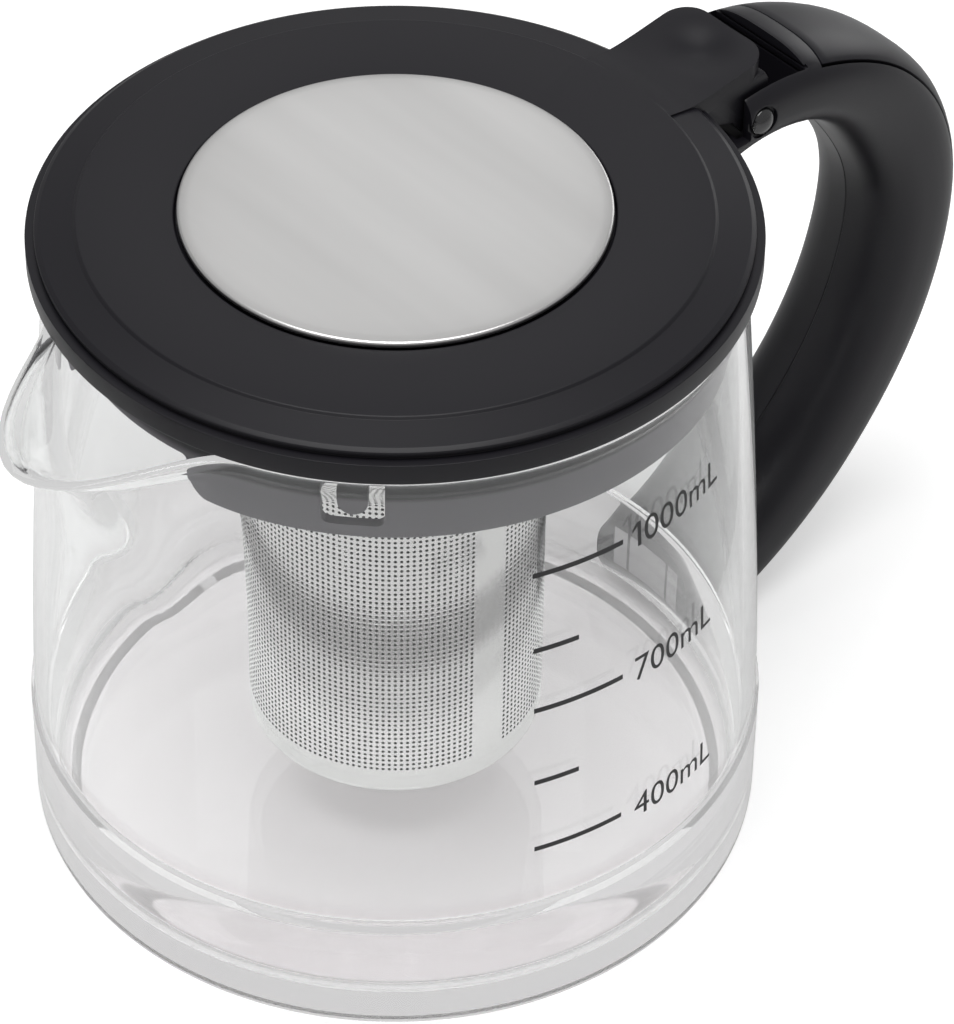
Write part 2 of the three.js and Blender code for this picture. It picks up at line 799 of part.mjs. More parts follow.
/** Full section of the handle, or of its hollow where a wall is given. */
function fullSection(halfThickness, halfWidth, wall = 0) {
  const points = [];
  for (let i = 0; i < sectionSteps; i += 1) {
    const angle = ((i + 0.5) / sectionSteps) * 2 * Math.PI;
    points.push(sectionPoint(angle, halfThickness - wall, halfWidth - wall));
  }
  return points;
}

/** Section of the room for the cover: straight sided, and open outwards. */
function coverRoomSection(halfThickness, halfWidth) {
  const side = halfWidth * coverWidthShare;
  const level = coverLevel(halfThickness, halfWidth) - seatGap;
  const above = halfThickness + overrun;
  return [[above, -side], [above, side], [level, side], [level, -side]];
}

/** Section of the cover: the outer side between the channel's edges. */
function coverSection(halfThickness, halfWidth) {
  const opening = angleAtShare(coverWidthShare - seatGap / halfWidth);
  const outside = [];
  for (let i = 0; i <= coverSteps; i += 1) {
    outside.push(sectionPoint(-opening + (2 * opening * i) / coverSteps, halfThickness, halfWidth));
  }
  const level = coverLevel(halfThickness, halfWidth);
  return [...outside, ...outside.map(([, side]) => [level, side]).reverse()];
}

/** Shell that follows the glass between two offsets and two heights, cut to a width about +X. */
function glassShell(inner, outer, low, height, width) {
  const steps = 4;
  const outline = closedOutline([
    ...jugWallOutline(outer, low, low + height, steps),
    ...jugWallOutline(inner, low, low + height, steps).reverse(),
  ]);
  const half = width / 2;
  const side = solid(block([0, -half, low - overrun], [gripReach, half, low + height + overrun]));
  return solid(lathe(outline, jugSegments)).intersect(side);
}

/** Everything inside the jug's outer wall and a clearance, to fit the handle's ends to the glass. */
function glassCutter() {
  const top = discTop + overrun;
  return solid(lathe([
    [0, -overrun],
    [baseRadius + seatGap, -overrun],
    ...jugWallOutline(seatGap, 0, jugHeight, 8),
    [mouthRadius + seatGap, top],
    [0, top],
  ], jugSegments));
}

/** The room in the handle's head for the lid's lugs and the thumb tab as it swings down. */
function pocketCutter() {
  const half = tabWidth / 2 + pocketClearance;
  const top = discTop + overrun;
  const wide = headWidth;
  return solid(block([frontWallX, -half, pocketFloor], [pocketEnd, half, top]))
    .add(solid(block([0, -wide, frontWallTop], [cheekFront, wide, top])))
    .add(solid(block([0, -wide, cheekFloor], [cheekFront, -frontWallHalf, top])))
    .add(solid(block([0, frontWallHalf, cheekFloor], [cheekFront, wide, top])));
}

/** The round recesses outside the cheeks that take the pin's heads. */
function pinRecessCutter() {
  const between = new THREE.BoxGeometry(4 * pinHeadRadius, headWidth - 2 * pinRecess, 4 * pinHeadRadius);
  const kept = solid(between.translate(pinX, 0, pinHeight));
  return solid(hingeRod(pinHeadRadius + runningGap, headWidth)).subtract(kept);
}

/** A screw along -X, with its head on the handle's side. */
function bracketScrew(headX, length, y, z) {
  return screw(0, length).rotateY(-Math.PI / 2).translate(headX + screwHeadHeight, y, z);
}

/** Hole for a bracket screw: clearance for the shank and a sink for its head. */
function bracketScrewHole(headX, y, z, sinkEnd) {
  const shank = new THREE.CylinderGeometry(screwRadius + screwFit, screwRadius + screwFit, headX, 12);
  const sink = new THREE.CylinderGeometry(screwHeadRadius + screwFit, screwHeadRadius + screwFit, sinkEnd - headX, 16);
  const hole = solid(shank.rotateZ(Math.PI / 2).translate(headX / 2 + screwHeadHeight / 2, y, z));
  return hole.add(solid(sink.rotateZ(Math.PI / 2).translate((headX + sinkEnd) / 2, y, z)));
}

const bracketInner = seatGap + padThickness + seatGap;
const bracketOuter = bracketInner + bracketThickness;
const brackets = [
  {
    name: 'upper',
    low: upperBracketLow,
    height: upperBracketHeight,
    width: upperBracketWidth,
    spacing: upperScrewSpacing,
    headX: frontWallX - screwHeadHeight - screwSink,
    sinkEnd: frontWallX + overrun,
  },
  {
    name: 'lower',
    low: lowerBracketLow,
    height: lowerBracketHeight,
    width: lowerBracketWidth,
    spacing: lowerScrewSpacing,
    headX: lowerHeadX,
    sinkEnd: lowerSinkEnd,
  },
];

/** Puts a turned shape, drawn along +Z from its outer end, into the handle from its outer side. */
function fromOutside(geometry, place, depth) {
  const { centre, outwards, inwards } = frameAt(place);
  const across = new THREE.Vector3(0, 1, 0);
  const basis = new THREE.Matrix4().makeBasis(across.clone().cross(inwards), across, inwards);
  const start = centre.addScaledVector(outwards, halfSize(place)[0] - depth);
  return geometry.applyMatrix4(basis.setPosition(start));
}

/** Hole for the cover's screw, with a sink for its head. */
function coverScrewHole() {
  const shank = post(screwRadius + screwFit, 0, coverScrewLength + 2 * screwHeadHeight);
  const sink = post(screwHeadRadius + screwFit, -coverScrewSink - overrun, screwHeadHeight + screwSink);
  return solid(fromOutside(shank, coverScrewShare, coverScrewSink))
    .add(solid(fromOutside(sink, coverScrewShare, coverScrewSink)));
}

/** The moulded handle: head with cheeks and pocket, hollow grip open on its outer side, and foot. */
function handleBody() {
  const underside = solid(block([0, -headWidth, -headWidth], [gripReach, headWidth, footBottom]));
  let body = sweep(0, 1, fullSection)
    .subtract(sweep(hollowStartShare, hollowEndShare, (thickness, width) => fullSection(thickness, width, handleWall)))
    .subtract(sweep(coverStartShare - coverGapShare, coverEndShare + coverGapShare, coverRoomSection))
    .subtract(glassCutter())
    .subtract(pocketCutter())
    .subtract(underside)
    .subtract(solid(hingeRod(pinRadius + seatGap, headWidth)))
    .subtract(pinRecessCutter())
    .subtract(coverScrewHole());
  for (const { low, height, width, spacing, headX, sinkEnd } of brackets) {
    const recess = glassShell(0, bracketOuter + seatGap, low - seatGap, height + 2 * seatGap, width + 2 * seatGap);
    body = body.subtract(recess);
    for (const side of [-1, 1]) {
      body = body.subtract(bracketScrewHole(headX, (side * spacing) / 2, low + height / 2, sinkEnd));
    }
  }
  return surface(body);
}

addPiece(handleGroup, 'handle_body', handleBody(), plasticFinish);
const cover = sweep(coverStartShare, coverEndShare, coverSection).subtract(coverScrewHole());
addPiece(handleGroup, 'handle_cover', surface(cover), plasticFinish);
addPiece(handleGroup, 'cover_screw', fromOutside(screw(0, coverScrewLength), coverScrewShare, coverScrewSink),
  steelFinish);

for (const { name, low, height, width, spacing, headX } of brackets) {
  const pad = glassShell(seatGap, seatGap + padThickness, low, height, width);
  addPiece(handleGroup, `${name}_bond_pad`, surface(pad), adhesiveFinish);
  const screwHeight = low + height / 2;
  const tip = jugRadius(screwHeight) + bracketInner + seatGap;
  let bracket = glassShell(bracketInner, bracketOuter, low, height, width);
  for (const [side, label] of [[-1, 'left'], [1, 'right']]) {
    const y = (side * spacing) / 2;
    bracket = bracket.subtract(bracketScrewHole(headX, y, screwHeight, headX + screwHeadHeight));
    const geometry = bracketScrew(headX, headX - tip, y, screwHeight);
    addPiece(handleGroup, `${name}_bracket_screw_${label}`, geometry, steelFinish);
  }
  addPiece(handleGroup, `${name}_bracket`, surface(bracket), steelFinish);
}

// Hinge pin with domed heads

/** The pin: shank through cheeks and lugs, and a domed head outside each cheek. */
function hingePin() {
  const cheek = headWidth / 2 - pinRecess + seatGap;
  const head = [
    [pinHeadRadius, cheek],
    [pinHeadRadius, cheek + pinHeadHeight / 3],
    [0.75 * pinHeadRadius, cheek + 0.8 * pinHeadHeight],
    [0.4 * pinHeadRadius, cheek + 0.96 * pinHeadHeight],
    [0, cheek + pinHeadHeight],
  ];
  const upper = [[pinRadius, cheek], ...head];
  const lower = upper.map(([radius, height]) => [radius, -height]).reverse();
  return lathe([...lower, ...upper], 16).rotateX(Math.PI / 2);
}

addPiece(handleGroup, 'hinge_pin', hingePin(), pinFinish).position.set(pinX, 0, pinHeight);

export default part;
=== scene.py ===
"""Glass tea jug with a black lid, a loop handle and a perforated tea basket.

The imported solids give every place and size. Each sub-assembly below is a class that holds its sizes in
millimetres, models its pieces by hand-like operations and dresses them in its own finishes.
"""
from __future__ import annotations

import json
import logging
import math
from contextlib import contextmanager
from dataclasses import dataclass, field
from enum import Enum
from functools import partial
from typing import Callable, Iterator, Sequence

import bpy
from mathutils import Matrix, Vector

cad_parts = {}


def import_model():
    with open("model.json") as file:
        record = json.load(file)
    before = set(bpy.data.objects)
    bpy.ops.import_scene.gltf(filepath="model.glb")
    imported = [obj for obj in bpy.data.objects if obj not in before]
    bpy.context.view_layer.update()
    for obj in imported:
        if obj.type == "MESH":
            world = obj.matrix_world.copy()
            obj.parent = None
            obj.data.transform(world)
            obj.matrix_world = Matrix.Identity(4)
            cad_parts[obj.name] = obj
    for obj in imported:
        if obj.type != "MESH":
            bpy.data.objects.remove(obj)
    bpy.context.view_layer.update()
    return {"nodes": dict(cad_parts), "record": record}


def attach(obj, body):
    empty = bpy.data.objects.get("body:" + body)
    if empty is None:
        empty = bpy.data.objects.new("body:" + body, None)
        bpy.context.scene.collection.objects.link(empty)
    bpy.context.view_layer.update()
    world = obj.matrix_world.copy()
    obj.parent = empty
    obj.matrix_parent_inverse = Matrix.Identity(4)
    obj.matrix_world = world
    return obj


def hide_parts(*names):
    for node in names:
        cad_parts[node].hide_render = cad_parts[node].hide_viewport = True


MM = 0.001
LOG = logging.getLogger("tea_jug")
HINGE = (69.3, 115.5)
HINGE_BORE = 1.8

Outline = Sequence[tuple[float, float]]
Place = tuple[float, float, float]
Colour = tuple[float, float, float]
Feed = bpy.types.NodeSocket | float | tuple


class Body(Enum):
    """The rigid bodies that pieces ride on."""

    JUG = "jug"
    LID = "lid"
    BASKET = "basket"


class Slot(Enum):
    """Material slots of the record."""

    GLASS = "clear_glass"
    PLASTIC = "black_plastic"
    MESH = "perforated_steel"
    DISC = "brushed_disc"
    BOND = "bond"
    SCREW = "screw_steel"
    PIN = "pin_metal"


class Join(Enum):
    """Ways of joining a piece with a cutter."""

    CUT = "DIFFERENCE"
    ADD = "UNION"
    COMMON = "INTERSECT"


class Pick(Enum):
    """What edit mode selects."""

    POINTS = "VERT"
    FACES = "FACE"


class Axis(Enum):
    """Axes that an outline is extruded along, each as the order of its first, second and depth values."""

    X = (2, 0, 1)
    Y = (0, 2, 1)
    Z = (0, 1, 2)


# Modelling bench


def rounded(corners: Sequence[Place], steps: int, closed: bool = False) -> list[tuple[float, float]]:
    """Round the corners of an outline.

    Args:
        corners: Corners as (radius, height, rounding) in millimetres.
        steps: Number of steps in each rounding.
        closed: True where the last corner joins the first.

    Returns:
        The outline's points, with the first repeated at the end of a closed outline.
    """
    points: list[tuple[float, float]] = []
    count = len(corners)
    for index, (x, y, rounding) in enumerate(corners):
        inner = closed or 0 < index < count - 1
        if rounding <= 0 or not inner:
            points.append((x, y))
            continue
        here = Vector((x, y))
        before = Vector(corners[index - 1][:2]) - here
        after = Vector(corners[(index + 1) % count][:2]) - here
        half = before.angle(after) / 2
        reach = min(rounding / math.tan(half), 0.49 * before.length, 0.49 * after.length)
        radius = reach * math.tan(half)
        centre = here + (before.normalized() + after.normalized()).normalized() * (radius / math.sin(half))
        start = here + before.normalized() * reach - centre
        end = here + after.normalized() * reach - centre
        sweep = start.angle_signed(end)
        for step in range(steps + 1):
            turn = Matrix.Rotation(-sweep * step / steps, 2)
            points.append(tuple(centre + turn @ start))
    if closed:
        points.append(points[0])
    return points


def arc(centre: tuple[float, float], radius: float, start: float, end: float,
        steps: int) -> list[tuple[float, float]]:
    """Points of an arc, with angles in degrees.

    Args:
        centre: Centre of the arc.
        radius: Radius of the arc.
        start: First angle.
        end: Last angle.
        steps: Number of steps.

    Returns:
        The arc's points from start to end.
    """
    angles = [math.radians(start + (end - start) * step / steps) for step in range(steps + 1)]
    return [(centre[0] + radius * math.cos(a), centre[1] + radius * math.sin(a)) for a in angles]


def smoothstep(value: float, low: float, high: float) -> float:
    """Smooth share of the way from low to high."""
    share = min(1.0, max(0.0, (value - low) / (high - low)))
    return share * share * (3 - 2 * share)


class Bench:
    """Modelling operations that the sub-assemblies share."""

    @staticmethod
    def focus(*pieces: bpy.types.Object) -> None:
        """Select the pieces and nothing else, and make the first one active.

        Args:
            pieces: Pieces to select.
        """
        bpy.ops.object.select_all(action="DESELECT")
        for piece in pieces:
            piece.select_set(True)
        bpy.context.view_layer.objects.active = pieces[0]

    @staticmethod
    def settle(piece: bpy.types.Object) -> None:
        """Apply a piece's place, turn and scale to its mesh."""
        Bench.focus(piece)
        bpy.ops.object.transform_apply(location=True, rotation=True, scale=True)

    @staticmethod
    def begin(name: str) -> bpy.types.Object:
        """Name the object that was just added and apply its place.

        Args:
            name: Name of the piece and its mesh.

        Returns:
            The piece.
        """
        piece = bpy.context.object
        piece.name = name
        piece.data.name = name
        Bench.settle(piece)
        return piece

    @staticmethod
    @contextmanager
    def editing(piece: bpy.types.Object, pick: Pick = Pick.POINTS, whole: bool = True) -> Iterator[None]:
        """Open a piece in edit mode with one kind of selection.

        Args:
            piece: Piece to edit.
            pick: Kind of selection.
            whole: True to select all of the piece, False to keep what is selected.

        Yields:
            Nothing; the piece is back in object mode afterwards.
        """
        Bench.focus(piece)
        bpy.ops.object.mode_set(mode="EDIT")
        bpy.ops.mesh.select_mode(type=pick.value)
        if whole:
            bpy.ops.mesh.select_all(action="SELECT")
        yield
        bpy.ops.object.mode_set(mode="OBJECT")

    @staticmethod
    def extrude(step: Sequence[float]) -> None:
        """Extrude the selection of the open piece by a step in millimetres."""
        bpy.ops.mesh.extrude_region_move(TRANSFORM_OT_translate={"value": [part * MM for part in step]})

    @staticmethod
    def pick_faces(piece: bpy.types.Object, test: Callable[[bpy.types.MeshPolygon], bool]) -> None:
        """Select the faces that pass a test, and nothing else.

        Args:
            piece: Piece in object mode.
            test: Says whether a face is selected.
        """
        mesh = piece.data
        for part in (*mesh.vertices, *mesh.edges):
            part.select = False
        for face in mesh.polygons:
            face.select = test(face)

    @staticmethod
    def drawn(name: str, places: Sequence[Sequence[float]]) -> bpy.types.Object:
        """Draw a line: one point, extruded from place to place.

        Args:
            name: Name of the piece.
            places: Places in millimetres.

        Returns:
            The line.
        """
        bpy.ops.mesh.primitive_plane_add(size=MM)
        piece = Bench.begin(name)
        with Bench.editing(piece):
            bpy.ops.mesh.merge(type="CENTER")
            bpy.ops.transform.translate(value=[part * MM for part in places[0]])
            for here, there in zip(places, places[1:]):
                Bench.extrude([b - a for a, b in zip(here, there)])
        return piece

    @staticmethod
    def turned(name: str, outline: Outline, segments: int = 128, smooth: float = 0.0) -> bpy.types.Object:
        """Draw an outline point by point and spin it about the Z axis.

        Args:
            name: Name of the piece.
            outline: (radius, height) points in millimetres, closed or with both ends on the axis.
            segments: Steps of the spin.
            smooth: Angle in degrees up to which the piece is shaded smooth, or 0 to leave it flat.

        Returns:
            The turned piece.
        """
        piece = Bench.drawn(name, [(radius, 0, height) for radius, height in outline])
        with Bench.editing(piece):
            bpy.ops.mesh.spin(steps=segments, angle=math.tau, center=(0, 0, 0), axis=(0, 0, 1))
            Bench.tidy_open()
        if smooth:
            Bench.smooth(piece, smooth)
        return piece

    @staticmethod
    def tidy_open() -> None:
        """Merge doubles and turn the faces of the open piece outwards."""
        bpy.ops.mesh.select_all(action="SELECT")
        bpy.ops.mesh.remove_doubles(threshold=0.002 * MM)
        bpy.ops.mesh.normals_make_consistent(inside=False)

    @staticmethod
    def block(name: str, low: Place, high: Place) -> bpy.types.Object:
        """A box between two corners.

        Args:
            name: Name of the piece.
            low: Lowest corner in millimetres.
            high: Highest corner in millimetres.

        Returns:
            The box.
        """
        middle = [(a + b) / 2 * MM for a, b in zip(low, high)]
        bpy.ops.mesh.primitive_cube_add(size=1, location=middle, scale=[(b - a) * MM for a, b in zip(low, high)])
        return Bench.begin(name)

    @staticmethod
    def grid(name: str, cells: tuple[int, int], low: tuple[float, float],
             high: tuple[float, float]) -> bpy.types.Object:
        """A flat grid between two corners on the ground.

        Args:
            name: Name of the piece.
            cells: Number of cells along X and Y.
            low: Lowest corner in millimetres.
            high: Highest corner in millimetres.

        Returns:
            The grid.
        """
        bpy.ops.mesh.primitive_grid_add(x_subdivisions=cells[0], y_subdivisions=cells[1], size=1)
        piece = bpy.context.object
        piece.scale = ((high[0] - low[0]) * MM, (high[1] - low[1]) * MM, 1)
        piece.location = ((low[0] + high[0]) / 2 * MM, (low[1] + high[1]) / 2 * MM, 0)
        return Bench.begin(name)

    @staticmethod
    def rod(name: str, radius: float, start: Place, end: Place, segments: int) -> bpy.types.Object:
        """A cylinder between two places.

        Args:
            name: Name of the piece.
            radius: Radius in millimetres.
            start: Centre of the first end.
            end: Centre of the last end.
            segments: Number of sides.

        Returns:
            The cylinder.
        """
        first, last = Vector(start), Vector(end)
        along = last - first
        bpy.ops.mesh.primitive_cylinder_add(vertices=segments, radius=radius * MM, depth=along.length * MM,
                                            location=(first + last) / 2 * MM,
                                            rotation=along.to_track_quat("Z", "Y").to_euler())
        return Bench.begin(name)

    @staticmethod
    def prism(name: str, outline: Outline, depth: tuple[float, float], axis: Axis) -> bpy.types.Object:
        """Draw an outline edge by edge, fill it and extrude it along an axis.

        Args:
            name: Name of the piece.
            outline: Points in millimetres: (x, z) for axis Y, (y, z) for axis X, (x, y) for axis Z.
            depth: Start and end along the axis.
            axis: Axis of the extrusion.

        Returns:
            The extruded piece.
        """
        piece = Bench.drawn(name, [[(*point, depth[0])[index] for index in axis.value] for point in outline])
        with Bench.editing(piece):
            bpy.ops.mesh.edge_face_add()
            Bench.extrude([(0, 0, depth[1] - depth[0])[index] for index in axis.value])
            Bench.tidy_open()
        return piece

    @staticmethod
    def apply(piece: bpy.types.Object, kind: str, **settings: object) -> None:
        """Add a modifier with its settings and apply it.

        Args:
            piece: Piece that gets it.
            kind: Blender's name of the modifier.
            settings: Its settings.
        """
        modifier = piece.modifiers.new(kind.lower(), kind)
        for key, value in settings.items():
            setattr(modifier, key, value)
        Bench.focus(piece)
        bpy.ops.object.modifier_apply(modifier=modifier.name)

    @staticmethod
    def combine(piece: bpy.types.Object, join: Join, *tools: bpy.types.Object) -> None:
        """Join or cut a piece with tools, and delete the tools.

        Args:
            piece: Piece that is kept.
            join: Way of joining.
            tools: Pieces that are used up.
        """
        for tool in tools:
            Bench.apply(piece, "BOOLEAN", operation=join.value, object=tool, solver="EXACT")
            bpy.data.objects.remove(tool, do_unlink=True)

    @staticmethod
    def copy(piece: bpy.types.Object, name: str) -> bpy.types.Object:
        """A copy of a piece with a mesh of its own.

        Args:
            piece: Piece to copy.
            name: Name of the copy.

        Returns:
            The copy.
        """
        twin = piece.copy()
        twin.data = piece.data.copy()
        twin.name = name
        twin.data.name = name
        bpy.context.collection.objects.link(twin)
        return twin

    @staticmethod
    def soften(piece: bpy.types.Object, width: float, segments: int, angle: float) -> None:
        """Round a piece's sharp edges.

        Args:
            piece: Piece to round.
            width: Width of the rounding in millimetres.
            segments: Steps of the rounding.
            angle: Sharpness in degrees above which an edge is rounded.
        """
        Bench.apply(piece, "BEVEL", width=width * MM, segments=segments, limit_method="ANGLE",
                    angle_limit=math.radians(angle), use_clamp_overlap=True, harden_normals=False)

    @staticmethod
    def smooth(piece: bpy.types.Object, angle: float) -> None:
        """Shade a piece smooth, except at edges sharper than an angle in degrees."""
        Bench.focus(piece)
        bpy.ops.object.shade_smooth_by_angle(angle=math.radians(angle))


# Finishes


class Shading:
    """Node helpers and the shared groups that the finishes place in their materials."""

    @staticmethod
    def feed(tree: bpy.types.NodeTree, node: bpy.types.Node, feeds: dict[str | int, Feed]) -> None:
        """Give a node's inputs their values or links.

        Args:
            tree: Tree that holds the node.
            node: The node.
            feeds: A value or another node's output for each input, by name or place.
        """
        for key, value in feeds.items():
            if isinstance(value, bpy.types.NodeSocket):
                tree.links.new(value, node.inputs[key])
            else:
                node.inputs[key].default_value = value

    @staticmethod
    def node(tree: bpy.types.NodeTree, kind: str, feeds: dict[str | int, Feed],
             **settings: object) -> bpy.types.Node:
        """Add a node with its settings and feed its inputs.

        Args:
            tree: Tree that gets the node.
            kind: Node type without its ShaderNode prefix.
            feeds: A value or another node's output for each input, by name or place.
            settings: The node's own settings.

        Returns:
            The node.
        """
        made = tree.nodes.new("ShaderNode" + kind)
        for key, value in settings.items():
            setattr(made, key, value)
        Shading.feed(tree, made, feeds)
        return made

    @staticmethod
    def where(tree: bpy.types.NodeTree) -> bpy.types.NodeSocket:
        """Object coordinates of the piece that wears the material."""
        return tree.nodes.new("ShaderNodeTexCoord").outputs["Object"]

    @staticmethod
    def reckon(tree: bpy.types.NodeTree, operation: str, *terms: Feed,
               clamp: bool = False) -> bpy.types.NodeSocket:
        """Result of a sum or a comparison.

        Args:
            tree: Tree that gets the node.
            operation: Blender's name of the operation.
            terms: Its terms in order.
            clamp: True to keep the result between 0 and 1.

        Returns:
            The result.
        """
        made = Shading.node(tree, "Math", dict(enumerate(terms)), operation=operation, use_clamp=clamp)
        return made.outputs[0]

    @staticmethod
    def noise(tree: bpy.types.NodeTree, where: Feed, scale: Feed, detail: float) -> bpy.types.NodeSocket:
        """Soft random patches.

        Args:
            tree: Tree that gets the node.
            where: Coordinates.
            scale: Fineness of the patches.
            detail: Steps of finer detail.

        Returns:
            A value from 0 to 1.
        """
        return Shading.node(tree, "TexNoise", {"Vector": where, "Scale": scale, "Detail": detail}).outputs["Fac"]

    @staticmethod
    def ramp(tree: bpy.types.NodeTree, share: Feed,
             stops: Sequence[tuple[float, Colour]]) -> bpy.types.NodeSocket:
        """Colour that follows a share.

        Args:
            tree: Tree that gets the node.
            share: Value from 0 to 1.
            stops: Positions in rising order, each with its colour.

        Returns:
            The colour.
        """
        node = Shading.node(tree, "ValToRGB", {"Fac": share})
        elements = node.color_ramp.elements
        elements[0].position, elements[1].position = stops[0][0], stops[-1][0]
        for position, _ in stops[1:-1]:
            elements.new(position)
        for element, (_, colour) in zip(elements, stops):
            element.color = (*colour, 1)
        return node.outputs["Color"]

    @staticmethod
    def height_share(tree: bpy.types.NodeTree, low: float, high: float,
                     kind: str = "LINEAR") -> bpy.types.NodeSocket:
        """Share of the way between two heights of the piece.

        Args:
            tree: Tree that gets the nodes.
            low: Lower height in millimetres.
            high: Upper height in millimetres.
            kind: Blender's name of the way the share grows.

        Returns:
            The share.
        """
        split = Shading.node(tree, "SeparateXYZ", {"Vector": Shading.where(tree)})
        level = {"Value": split.outputs["Z"], "From Min": low * MM, "From Max": high * MM}
        return Shading.node(tree, "MapRange", level, interpolation_type=kind).outputs["Result"]

    @staticmethod
    def mix(tree: bpy.types.NodeTree, share: Feed, first: Feed, second: Feed) -> bpy.types.NodeSocket:
        """Mix of two colours.

        Args:
            tree: Tree that gets the node.
            share: Share of the second colour.
            first: First colour.
            second: Second colour.

        Returns:
            The colour.
        """
        return Shading.node(tree, "Mix", {0: share, 6: first, 7: second}, data_type="RGBA").outputs[2]

    @staticmethod
    def group(name: str, inputs: dict[str, float],
              outputs: Sequence[str]) -> tuple[bpy.types.NodeTree, bpy.types.NodeOutputs, bpy.types.Node]:
        """Make an empty node group with named sockets.

        Args:
            name: Name of the group.
            inputs: Input names with their default values.
            outputs: Output names.

        Returns:
            The group, the sockets that its inputs arrive at, and the node that takes its outputs.
        """
        tree = bpy.data.node_groups.new(name, "ShaderNodeTree")
        tree.interface.new_socket("Vector", in_out="INPUT", socket_type="NodeSocketVector")
        for key, value in inputs.items():
            tree.interface.new_socket(key, in_out="INPUT", socket_type="NodeSocketFloat").default_value = value
        for key in outputs:
            tree.interface.new_socket(key, in_out="OUTPUT", socket_type="NodeSocketFloat")
        return tree, tree.nodes.new("NodeGroupInput").outputs, tree.nodes.new("NodeGroupOutput")

    @staticmethod
    def moulded_skin() -> bpy.types.NodeTree:
        """Fine grain and slight gloss changes of moulded plastic.

        Returns:
            Group with a grain height and a roughness.
        """
        tree, start, end = Shading.group("moulded_skin", {"Grain": 2600.0, "Gloss": 0.4, "Change": 0.05},
                                         ("Height", "Roughness"))
        centred = Shading.reckon(tree, "SUBTRACT", Shading.noise(tree, start["Vector"], 28.0, 1.0), 0.5)
        Shading.feed(tree, end, {
            "Height": Shading.noise(tree, start["Vector"], start["Grain"], 2.0),
            "Roughness": Shading.reckon(tree, "MULTIPLY_ADD", centred, start["Change"], start["Gloss"]),
        })
        return tree

    @staticmethod
    def brushed_lines() -> bpy.types.NodeTree:
        """Fine parallel lines of brushed steel along Y, with broad changes of tone.

        Returns:
            Group with a line height and a tone.
        """
        tree, start, end = Shading.group("brushed_lines", {"Fine": 3200.0, "Broad": 60.0}, ("Height", "Tone"))
        for key, output, stretch in (("Fine", "Height", 0.012), ("Broad", "Tone", 0.1)):
            squeeze = Shading.node(tree, "Mapping", {"Vector": start["Vector"], "Scale": (1, stretch, stretch)})
            Shading.feed(tree, end, {output: Shading.noise(tree, squeeze.outputs["Vector"], start[key], 3.0)})
        return tree


class Finish:
    """A material made of nodes, built once and assigned to pieces."""

    label: str = ""
    made: dict[str, bpy.types.Material] = {}
    groups: dict[str, bpy.types.NodeTree] = {}

    def material(self) -> bpy.types.Material:
        """The finish's material, built on first use.

        Returns:
            The material.
        """
        name = type(self).__name__ + self.label
        if name not in Finish.made:
            material = bpy.data.materials.new(name)
            material.use_nodes = True
            self.build(material.node_tree, material.node_tree.nodes["Principled BSDF"])
            Finish.made[name] = material
        return Finish.made[name]

    def build(self, tree: bpy.types.NodeTree, shader: bpy.types.Node) -> None:
        """Set the shader's sockets and add the nodes that feed it.

        Args:
            tree: The material's tree.
            shader: Its shader.
        """
        raise NotImplementedError

    @staticmethod
    def place(tree: bpy.types.NodeTree, maker: Callable[[], bpy.types.NodeTree],
              **values: float) -> bpy.types.NodeOutputs:
        """Put a shared group in a material, fed by object coordinates.

        Args:
            tree: The material's tree.
            maker: Function that makes the shared group.
            values: Values of the group's inputs.

        Returns:
            The outputs of the group's node.
        """
        key = maker.__name__
        if key not in Finish.groups:
            Finish.groups[key] = maker()
        node = tree.nodes.new("ShaderNodeGroup")
        node.node_tree = Finish.groups[key]
        Shading.feed(tree, node, {"Vector": Shading.where(tree), **values})
        return node.outputs

    @staticmethod
    def bump(tree: bpy.types.NodeTree, height: bpy.types.NodeSocket, strength: float,
             distance: float) -> bpy.types.NodeSocket:
        """Normal of a surface with a height.

        Args:
            tree: The material's tree.
            height: Socket that gives the height.
            strength: Strength of the bump.
            distance: Depth of the bump in millimetres.

        Returns:
            The normal.
        """
        feeds = {"Strength": strength, "Distance": distance * MM, "Height": height}
        return Shading.node(tree, "Bump", feeds).outputs["Normal"]

    def dress(self, piece: bpy.types.Object) -> None:
        """Give the finish to a piece that has none yet."""
        if not piece.data.materials:
            piece.data.materials.append(self.material())


@dataclass(frozen=True)
class BlackPlastic(Finish):
    """Satin moulded plastic of the lid and the handle, and the base of the ring's own finish."""

    label: str = ""
    colour: Colour = (0.0086, 0.008, 0.0108)
    gloss: float = 0.4
    level: float = 0.25
    grain: float = 0.05
    grain_depth: float = 0.03

    def build(self, tree: bpy.types.NodeTree, shader: bpy.types.Node) -> None:
        """Plain near-black with a fine moulded grain.

        Args:
            tree: The material's tree.
            shader: Its shader.
        """
        skin = self.place(tree, Shading.moulded_skin, Gloss=self.gloss)
        Shading.feed(tree, shader, {
            "Base Color": (*self.colour, 1),
            "Specular IOR Level": self.level,
            "Roughness": skin["Roughness"],
            "Normal": self.bump(tree, skin["Height"], self.grain, self.grain_depth),
        })


@dataclass(frozen=True)
class RingPlasticPaintedShade(BlackPlastic):
    """Plastic of the carrier ring: grey on its skirt, near-black where the glass lip and the lid cover it: painted
    shade.
    """

    pale: Colour = (0.162, 0.156, 0.169)
    # painted shade: the near-black colour of the ring's top, under the lid
    deep: Colour = (0.014, 0.014, 0.016)
    fade: tuple[float, float] = (110.3, 112.2)

    def build(self, tree: bpy.types.NodeTree, shader: bpy.types.Node) -> None:
        """Painted shade by height over a smooth skin: darker towards the top.

        Args:
            tree: The material's tree.
            shader: Its shader.
        """
        super().build(tree, shader)
        share = Shading.height_share(tree, *self.fade, "SMOOTHSTEP")
        # painted shade: grey below the given heights, near-black above them
        Shading.feed(tree, shader, {"Base Color": Shading.ramp(tree, share, [(0.0, self.pale), (1.0, self.deep)])})


